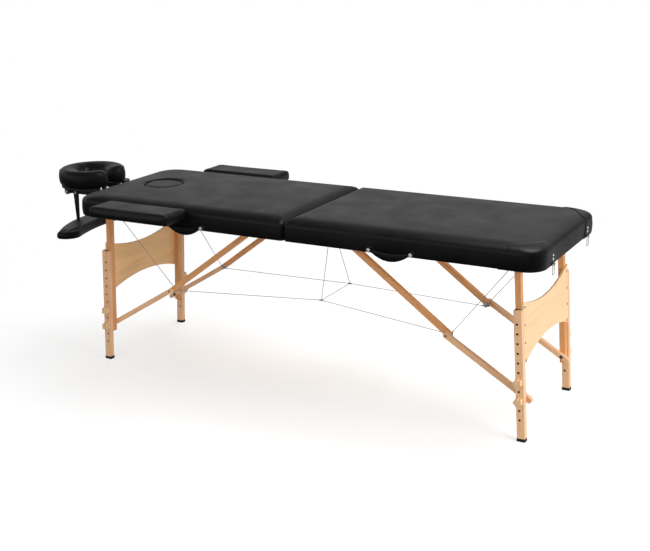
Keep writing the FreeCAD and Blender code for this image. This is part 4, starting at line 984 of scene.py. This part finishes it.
def horseshoe(inset, z, steps=18):
    """Level C that opens towards the table, with round arm ends."""
    outer = HEADREST_OUTER - inset
    inner = HEADREST_INNER + inset
    end = (outer - inner) / 2
    arm = (outer + inner) / 2
    gap = HEADREST_GAP
    tip_x = HEADREST_X + arm * math.cos(math.radians(gap))
    tip_y = arm * math.sin(math.radians(gap))
    points = arc_points(tip_x, -tip_y, end, -gap, 180, steps)
    points += arc_points(HEADREST_X, 0.0, inner, -gap, 2 * gap - 360, steps * 3)[1:-1]
    points += arc_points(tip_x, tip_y, end, gap - 180, 180, steps)
    points += arc_points(HEADREST_X, 0.0, outer, gap, 360 - 2 * gap, steps * 3)[1:-1]
    return [Vector((x, y, z)) for x, y in points]


def headrest_rings():
    height = headrest_high.z - headrest_low.z
    stations = ((0.016, 0.0), (0.009, 0.05), (0.005, 0.16), (0.003, 0.42), (0.005, 0.66), (0.010, 0.83),
                (0.019, 0.93), (0.030, 0.97))
    return [horseshoe(inset, headrest_low.z + height * share) for inset, share in stations]


def wrinkle(obj, middle, near, far, size):
    """Radial puckers in the cover, strongest at the inner edge of the opening."""
    obj.data.update()
    for vertex in obj.data.vertices:
        away = vertex.co - middle
        reach = math.hypot(away.x, away.y)
        weight = max(0.0, min(1.0, (far - reach) / (far - near)))
        lifted = max(0.0, min(1.0, (vertex.co.z - middle.z) / 0.02))
        angle = math.atan2(away.y, away.x)
        spin = Vector((math.cos(angle), math.sin(angle), reach * 9.0))
        pucker = noise.noise(spin * 4.0) + 0.6 * noise.noise(spin * 9.0)
        vertex.co += vertex.normal * (size * weight * lifted * pucker)


def dish(obj, depth):
    """Lowers the top towards the face opening, so that the cover slopes into it from the outer rim."""
    width = HEADREST_OUTER - HEADREST_INNER
    base = headrest_low.z + 0.012
    height = headrest_high.z - base
    for vertex in obj.data.vertices:
        x, y, z = vertex.co
        reach = math.hypot(x - HEADREST_X, y)
        share = max(0.0, min(1.0, (reach - HEADREST_INNER) / width))
        lifted = max(0.0, (z - base) / height)
        vertex.co.z -= depth * (1.0 - share) ** 1.2 * lifted


headrest_cushion = cushion("headrest_padding", "headrest_cushion", "headrest", headrest_rings(), 5.0, 0.006)
dish(headrest_cushion, HEADREST_DISH)
wrinkle(headrest_cushion, Vector((HEADREST_X, 0.0, headrest_low.z + 0.02)), 0.05, 0.115, 0.0026)
welt("headrest_welt", headrest_cushion, horseshoe(0.004, headrest_low.z + 0.058), 0.0016, "headrest")


# Armrests and arm shelf

def block_rings(low, high, edge, corner):
    """Soft block with rounded corners, drawn in at its lower and upper edges."""
    height = high.z - low.z
    stations = ((edge * 0.75, 0.0), (edge * 0.22, 0.10), (0.0, 0.30), (0.0, 0.62), (edge * 0.18, 0.82),
                (edge * 0.5, 0.93), (edge * 1.1, 0.985))
    rings = []
    for inset, share in stations:
        outline = rounded_ring(low.x + inset, high.x - inset, low.y + inset, high.y - inset, corner, corner,
                               (8, 40, 16))
        rings.append([Vector((x, y, low.z + height * share)) for x, y in outline])
    return rings


for side in ("near", "far"):
    node = side + "_armrest"
    low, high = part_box(node)
    rings = block_rings(low + ARMREST_SHRINK, high - ARMREST_SHRINK, ARMREST_EDGE, ARMREST_CORNER)
    cushion(node + "_padding", node, node, rings, 2.0, 0.0012, voxel=ARMREST_VOXEL)


shelf_low, shelf_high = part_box("arm_shelf")


def bowed(first, middle, last, steps):
    """Points of the circle through three points, from the first to just before the last."""
    ax, ay = first
    bx, by = middle
    cx, cy = last
    scale = 2 * (ax * (by - cy) + bx * (cy - ay) + cx * (ay - by))
    aa = ax * ax + ay * ay
    bb = bx * bx + by * by
    cc = cx * cx + cy * cy
    ux = (aa * (by - cy) + bb * (cy - ay) + cc * (ay - by)) / scale
    uy = (aa * (cx - bx) + bb * (ax - cx) + cc * (bx - ax)) / scale
    start = math.atan2(ay - uy, ax - ux)
    mid = math.atan2(by - uy, bx - ux)
    stop = math.atan2(cy - uy, cx - ux)
    turn = (stop - start) % (2 * math.pi)
    if (mid - start) % (2 * math.pi) > turn:
        turn -= 2 * math.pi
    radius = math.hypot(ax - ux, ay - uy)
    points = []
    for i in range(steps):
        angle = start + turn * i / steps
        points.append((ux + radius * math.cos(angle), uy + radius * math.sin(angle)))
    return points


SHELF_OUTER_MID = -0.99605
SHELF_OUTER_END = (-0.90405, 0.285)
SHELF_INNER_MID = -0.87305
SHELF_INNER_END = (-0.83205, 0.226)
SHELF_TIP = (-0.85205, 0.275)


def shelf_ring(inset, z):
    """Wing-shaped outline, its tips swept towards the table."""
    outer = (SHELF_OUTER_END[0] + inset / 2, SHELF_OUTER_END[1] - inset)
    inner = (SHELF_INNER_END[0] - inset, SHELF_INNER_END[1] - inset / 2)
    tip = (SHELF_TIP[0] - inset, SHELF_TIP[1] - inset)
    points = bowed((outer[0], -outer[1]), (tip[0], -tip[1]), (inner[0], -inner[1]), 14)
    points += bowed((inner[0], -inner[1]), (SHELF_INNER_MID - inset, 0.0), inner, 40)
    points += bowed(inner, tip, outer, 14)
    points += bowed(outer, (SHELF_OUTER_MID + inset, 0.0), (outer[0], -outer[1]), 44)
    return [Vector((x, y, z)) for x, y in points]


def shelf_rings():
    height = shelf_high.z - shelf_low.z
    stations = ((0.007, 0.0), (0.003, 0.12), (0.0018, 0.35), (0.0018, 0.6), (0.0035, 0.8), (0.007, 0.92),
                (0.014, 0.97))
    return [shelf_ring(inset, shelf_low.z + height * share) for inset, share in stations]


cushion("arm_shelf_padding", "arm_shelf", "arm_shelf", shelf_rings(), 3.0, 0.003)


def strap_mesh(shape, side, low, high):
    """Tapered webbing strap with a rounded top loop."""
    y = side * (high.y - STRAP_INSET)
    middle = (low.x + high.x) / 2
    half = (high.x - low.x) / 2
    end_half = half * STRAP_END_SHARE
    centre_z = high.z - half
    outline = [(middle - end_half, low.z), (middle - half * 0.99, centre_z)]
    for i in range(1, 12):
        angle = math.pi - math.pi * i / 12
        outline.append((middle + half * math.cos(angle), centre_z + half * math.sin(angle)))
    outline += [(middle + half * 0.99, centre_z), (middle + end_half, low.z)]
    rings = []
    for share, shrink in ((-0.5, 0.0006), (-0.35, 0.0), (0.35, 0.0), (0.5, 0.0006)):
        ring = []
        for x, z in outline:
            ring.append(Vector((x - math.copysign(shrink, x - middle), y + STRAP_THICKNESS * share, z)))
        rings.append(ring)
    shape.loft(rings)


strap_low, strap_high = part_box("arm_shelf_straps")
strap_shape = Shape()
for side in (-1.0, 1.0):
    strap_mesh(strap_shape, side, strap_low, strap_high)
straps = strap_shape.object("arm_shelf_webbing", webbing)
tidy_mesh(straps)
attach(straps, "arm_shelf")
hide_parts("arm_shelf_straps")


# Carry handles

def handle(name, node, body):
    """Padded crescent grip, thickest in the middle, with a stitched lower edge."""
    low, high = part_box(node)
    middle = (low.x + high.x) / 2
    half = (high.x - low.x) / 2
    y = (low.y + high.y) / 2
    thickness = high.y - low.y
    bottom_sag = high.z - low.z - HANDLE_END_DEPTH
    rings, seam = [], []
    for i in range(HANDLE_STATIONS + 1):
        share = 2.0 * i / HANDLE_STATIONS - 1.0
        x = middle + half * share
        bow = 1.0 - share * share
        top = high.z - HANDLE_TOP_SAG * bow - HANDLE_SHRINK
        bottom = high.z - HANDLE_END_DEPTH - bottom_sag * bow + HANDLE_SHRINK
        centre = (top + bottom) / 2
        tall = (top - bottom) / 2
        wide = thickness / 2 * (0.62 + 0.38 * bow ** 0.5)
        ring = []
        for k in range(HANDLE_POINTS):
            angle = 2 * math.pi * k / HANDLE_POINTS
            c, s = math.cos(angle), math.sin(angle)
            ring.append(Vector((x, y + wide * math.copysign(abs(c) ** 0.75, c),
                                centre + tall * math.copysign(abs(s) ** 0.8, s))))
        rings.append(ring)
        if 1 < i < HANDLE_STATIONS - 1:
            seam.append(Vector((x, y - wide * 0.90, bottom + tall * 0.42)))
    shape = Shape()
    shape.loft(rings)
    grip = shape.object(name, cover_small)
    tidy_mesh(grip)
    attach(grip, body)
    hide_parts(node)
    sewn = Shape()
    stitches(sewn, seam, [-Y_AXIS] * len(seam), HANDLE_STITCH, STITCH_RADIUS)
    line = sewn.object(name + "_stitches", thread)
    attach(line, body)


def screw_head(shape, seat, along, radius):
    """Domed bright screw on a washer, with a shallow recess."""
    turned(shape, seat, along, [(0.0, radius * 1.22), (0.0006, radius * 1.25), (0.0009, radius * 1.0),
                                (0.0016, radius * 0.94), (0.0022, radius * 0.72), (0.0024, radius * 0.42),
                                (0.0016, radius * 0.28), (0.0013, radius * 0.1)], 24)


def handle_screws(name, node, body):
    low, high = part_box(node)
    shape = Shape()
    z = (low.z + high.z) / 2
    for x in (low.x + HANDLE_SCREW_INSET, high.x - HANDLE_SCREW_INSET):
        screw_head(shape, Vector((x, low.y, z)), -Y_AXIS, HANDLE_SCREW_RADIUS)
    made = shape.object(name, bright_steel)
    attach(made, body)


for end in ENDS:
    handle(end + "_handle_padding", end + "_handle_grip", end + "_handle")
    handle_screws(end + "_handle_screws", end + "_handle_fittings", end + "_section")


# Latch screws

latch_shape = Shape()
for side in (-1.0, 1.0):
    for share in (0.5, 0.8):
        seat = Vector((foot_section.end + LATCH_PLATE_THICKNESS, side * LATCH_SCREW_Y,
                       foot_section.bottom + LATCH_PLATE_HEIGHT * share))
        screw_head(latch_shape, seat, X_AXIS, LATCH_SCREW_RADIUS)
latch_screws = latch_shape.object("latch_screws", bright_steel)
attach(latch_screws, "foot_section")


# Stranded steel cables

def stranded(shape, start, end):
    """Twisted cable with six raised strands."""
    run = end - start
    along = run.normalized()
    side = along.orthogonal().normalized()
    up = along.cross(side)
    count = max(2, int(run.length / (CABLE_PITCH / 10)))
    rings = []
    for i in range(count + 1):
        centre = start + run * (i / count)
        twist = 2 * math.pi * run.length * i / count / CABLE_PITCH
        ring = []
        for k in range(CABLE_POINTS):
            angle = twist + 2 * math.pi * k / CABLE_POINTS
            radius = CABLE_RADIUS * (1.0 if k % 2 else CABLE_GROOVE)
            ring.append(centre + side * (radius * math.cos(angle)) + up * (radius * math.sin(angle)))
        rings.append(ring)
    shape.loft(rings)


def hooked(shape, post, towards, radius):
    """Loop of cable round a post along Y, closed by a crimped sleeve; returns where the cable starts."""
    size = radius + CABLE_RADIUS + CABLE_LOOP_PLAY
    loop = circle_about(post, X_AXIS, Z_AXIS, size, CABLE_LOOP_POINTS)
    bent_tube(shape, loop, CABLE_RADIUS * 0.95, closed=True)
    along = (towards - post).normalized()
    sleeve = post + along * (size + 0.0005)
    turned(shape, sleeve, along, [(0.0, 0.0012), (0.0006, 0.0022), (0.005, 0.0024), (0.0052, 0.0020),
                                  (0.0062, 0.0020), (0.0064, 0.0024), (0.0112, 0.0022), (0.0118, 0.0012)], 14)
    return sleeve + along * 0.0110


def crimp(shape, centre, along):
    """Double sleeve where three cables meet."""
    along = along.normalized()
    profile = [(-0.008, 0.0014), (-0.0074, 0.0027), (-0.003, 0.0029), (-0.0022, CRIMP_RADIUS),
               (0.0022, CRIMP_RADIUS), (0.003, 0.0029), (0.0074, 0.0027), (0.008, 0.0014)]
    turned(shape, centre, along, profile, 14)


waist_low, waist_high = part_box("waist_cables")
WAIST = Vector((waist_high.x - CRIMP_RADIUS, waist_high.y - CRIMP_RADIUS, waist_low.z + CRIMP_RADIUS))


def cable_post(end):
    low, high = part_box(end + "_brace_brackets")
    return (low.x + high.x) / 2, low.z + BRACKET_MARGIN


SEAM_X = (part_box("foot_pad")[0].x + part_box("head_pad")[1].x) / 2
head_tails = []
for end in ENDS:
    post_x, post_z = cable_post(end)
    pivot = joints[end + "_leg_fold"]["pos_m"]
    runs = Shape()
    for side in (-1.0, 1.0):
        diagonal_post = Vector((post_x, side * DIAGONAL_Y, post_z))
        side_post = Vector((post_x, side * SIDE_CABLE_Y, post_z))
        top = Vector((pivot[0], side * DIAGONAL_TOP_Y, pivot[2]))
        waist = Vector((WAIST.x, side * WAIST.y, WAIST.z))
        low_start = hooked(runs, diagonal_post, top, CABLE_POST_RADIUS)
        high_start = hooked(runs, top, diagonal_post, CABLE_POST_RADIUS)
        stranded(runs, low_start, high_start)
        side_start = hooked(runs, side_post, waist, CABLE_POST_RADIUS)
        along = (side_post - waist).normalized()
        if end == "head":
            meeting = waist.lerp(side_post, (waist.x - SEAM_X) / (waist.x - side_post.x))
            stranded(runs, side_start, meeting)
            head_tails.append((meeting, waist + along * CRIMP_OVERLAP))
        else:
            stranded(runs, side_start, waist + along * CRIMP_OVERLAP)
    made = runs.object(end + "_steel_cables", cable_steel)
    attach(made, end + "_section")
    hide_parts(end + "_cables")
    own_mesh(made)

waist_runs = Shape()
for meeting, waist in head_tails:
    stranded(waist_runs, meeting, waist)
for side in (-1.0, 1.0):
    waist = Vector((WAIST.x, side * WAIST.y, WAIST.z))
    rise = (waist - CENTRE_EYE).normalized()
    stranded(waist_runs, CENTRE_EYE + rise * CENTRE_EYE_RADIUS, waist - rise * CRIMP_SIDE_OVERLAP)
    crimp(waist_runs, waist, X_AXIS)
cross_end = WAIST.y - CRIMP_SIDE_OVERLAP
stranded(waist_runs, Vector((WAIST.x, -cross_end, WAIST.z)), Vector((WAIST.x, cross_end, WAIST.z)))
waist_cable = waist_runs.object("waist_steel_cables", cable_steel)
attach(waist_cable, "foot_section")
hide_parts("waist_cables")
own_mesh(waist_cable)


# Stage, light and camera

FLOOR_WEIGHT = 0.9
FLOOR_LIFT = 0.22
FLOOR_HALF = 8.0
MIRRORED_WALL = 1.15
AROUND_LIGHT = 0.75
CAMERA_PLACE = (2.1121, -3.51375, 1.6253)
CAMERA_ANGLES = (0.5107, -0.2976, -0.0216)
CAMERA_LENS = 62.45


def pale_floor():
    """Wide pale floor that keeps a soft shadow and lets the white background through."""
    material = bpy.data.materials.new("pale_floor")
    material.use_nodes = True
    tree = material.node_tree
    tree.nodes.clear()
    matt = add_node(tree, "ShaderNodeBsdfDiffuse", {"Color": (0.95, 0.95, 0.95, 1.0)})
    path = add_node(tree, "ShaderNodeLightPath")
    lift = add_node(tree, "ShaderNodeEmission", {"Color": (1.0, 1.0, 1.0, 1.0)})
    glow = math_node(tree, "MULTIPLY", path.outputs["Is Camera Ray"], FLOOR_LIFT)
    tree.links.new(glow, lift.inputs["Strength"])
    lit = add_node(tree, "ShaderNodeAddShader")
    tree.links.new(matt.outputs[0], lit.inputs[0])
    tree.links.new(lift.outputs[0], lit.inputs[1])
    clear = add_node(tree, "ShaderNodeBsdfTransparent")
    near = add_node(tree, "ShaderNodeTexGradient", {"Vector": place(tree, (0.4, 0.4, 0.4))},
                    gradient_type="SPHERICAL").outputs["Fac"]
    seen = math_node(tree, "SUBTRACT", 1.0, path.outputs["Is Glossy Ray"])
    weight = math_node(tree, "MULTIPLY", math_node(tree, "MULTIPLY", near, seen), FLOOR_WEIGHT)
    blend = add_node(tree, "ShaderNodeMixShader", {"Fac": weight})
    tree.links.new(clear.outputs[0], blend.inputs[1])
    tree.links.new(lit.outputs[0], blend.inputs[2])
    output = add_node(tree, "ShaderNodeOutputMaterial")
    tree.links.new(blend.outputs[0], output.inputs["Surface"])
    corners = [(x * FLOOR_HALF, y * FLOOR_HALF, 0.0) for x, y in ((-1, -1), (1, -1), (1, 1), (-1, 1))]
    floor = make_object("floor", corners, [(0, 1, 2, 3)], material)


def greys(*steps):
    """Steps of a ramp, each a place and a grey level."""
    return [(place_at, (level, level, level)) for place_at, level in steps]


def studio_world():
    """White behind the object, light from above, and a bright wall mirrored low behind the table."""
    world = bpy.data.worlds.new("studio")
    scene.world = world
    world.use_nodes = True
    tree = world.node_tree
    tree.nodes.clear()
    direction = add_node(tree, "ShaderNodeTexCoord").outputs["Generated"]
    parts = add_node(tree, "ShaderNodeSeparateXYZ", {"Vector": direction}).outputs
    height = parts["Z"]
    light = ramp(tree, height, greys((0.0, 0.10), (0.12, 0.28), (0.4, 0.70)))
    mirrored = ramp(tree, height, greys((0.0, 0.02), (0.14, 0.55), (0.30, 1.0), (0.40, 0.45), (0.54, 0.06)))
    floor_behind = ramp(tree, parts["Y"], greys((0.0, 0.02), (0.7, 0.42)))
    above = ramp(tree, height, greys((0.0, 0.0), (0.1, 1.0)))
    leftwards = ramp(tree, parts["X"], greys((0.0, 1.0), (0.35, 0.15)))
    mirrored = mixed(tree, leftwards, (0.03, 0.03, 0.03), mirrored)
    mirrored = mixed(tree, above, floor_behind, mirrored)
    path = add_node(tree, "ShaderNodeLightPath").outputs
    around = add_node(tree, "ShaderNodeBackground", {"Color": light, "Strength": AROUND_LIGHT})
    wall = add_node(tree, "ShaderNodeBackground", {"Color": mirrored, "Strength": MIRRORED_WALL})
    white = add_node(tree, "ShaderNodeBackground", {"Color": (1.0, 1.0, 1.0, 1.0), "Strength": 1.0})
    unseen = add_node(tree, "ShaderNodeMixShader", {"Fac": path["Is Glossy Ray"]})
    tree.links.new(around.outputs[0], unseen.inputs[1])
    tree.links.new(wall.outputs[0], unseen.inputs[2])
    blend = add_node(tree, "ShaderNodeMixShader", {"Fac": path["Is Camera Ray"]})
    tree.links.new(unseen.outputs[0], blend.inputs[1])
    tree.links.new(white.outputs[0], blend.inputs[2])
    output = add_node(tree, "ShaderNodeOutputWorld")
    tree.links.new(blend.outputs[0], output.inputs["Surface"])


def soft_lamp(name, place_at, target, size, power, mirrored=True, lighting=True):
    """Broad lamp that may be left out of the reflections, or seen in them alone."""
    lamp = bpy.data.lights.new(name, "AREA")
    lamp.shape = "RECTANGLE"
    lamp.size, lamp.size_y = size
    lamp.energy = power
    made = bpy.data.objects.new(name, lamp)
    made.location = place_at
    made.visible_glossy = mirrored
    made.visible_diffuse = lighting
    made.rotation_mode = "QUATERNION"
    made.rotation_quaternion = (Vector(target) - Vector(place_at)).to_track_quat("-Z", "Y")
    scene.collection.objects.link(made)


def photo_camera():
    """Camera at the photograph's place, solved from the table's own sizes."""
    yaw, pitch, roll = CAMERA_ANGLES
    forward = Vector((-math.sin(yaw) * math.cos(pitch), math.cos(yaw) * math.cos(pitch), math.sin(pitch)))
    right = Vector((math.cos(yaw), math.sin(yaw), 0.0))
    up = right.cross(forward)
    tilted_right = right * math.cos(roll) + up * math.sin(roll)
    tilted_up = up * math.cos(roll) - right * math.sin(roll)
    lens = bpy.data.cameras.new("camera")
    lens.sensor_width = 36.0
    lens.lens = CAMERA_LENS
    made = bpy.data.objects.new("camera", lens)
    axes = Matrix((tilted_right, tilted_up, -forward)).transposed().to_4x4()
    made.matrix_world = Matrix.Translation(CAMERA_PLACE) @ axes
    scene.collection.objects.link(made)
    scene.camera = made


pale_floor()
studio_world()
soft_lamp("overhead", (0.6, 1.4, 3.2), (0.0, 0.0, 0.6), (3.6, 2.4), 70.0, mirrored=False)
soft_lamp("end_side", (4.4, -0.8, 1.25), (0.9, 0.0, 0.4), (2.0, 2.0), 140.0, mirrored=False)
soft_lamp("corner", (1.25, 0.2, 2.9), (0.95, -0.25, 0.65), (1.3, 1.3), 36.0, lighting=False)
soft_lamp("front", (-0.6, -4.4, 1.4), (0.2, 0.0, 0.4), (2.8, 2.0), 55.0, mirrored=False)
photo_camera()
scene.view_settings.view_transform = "Standard"
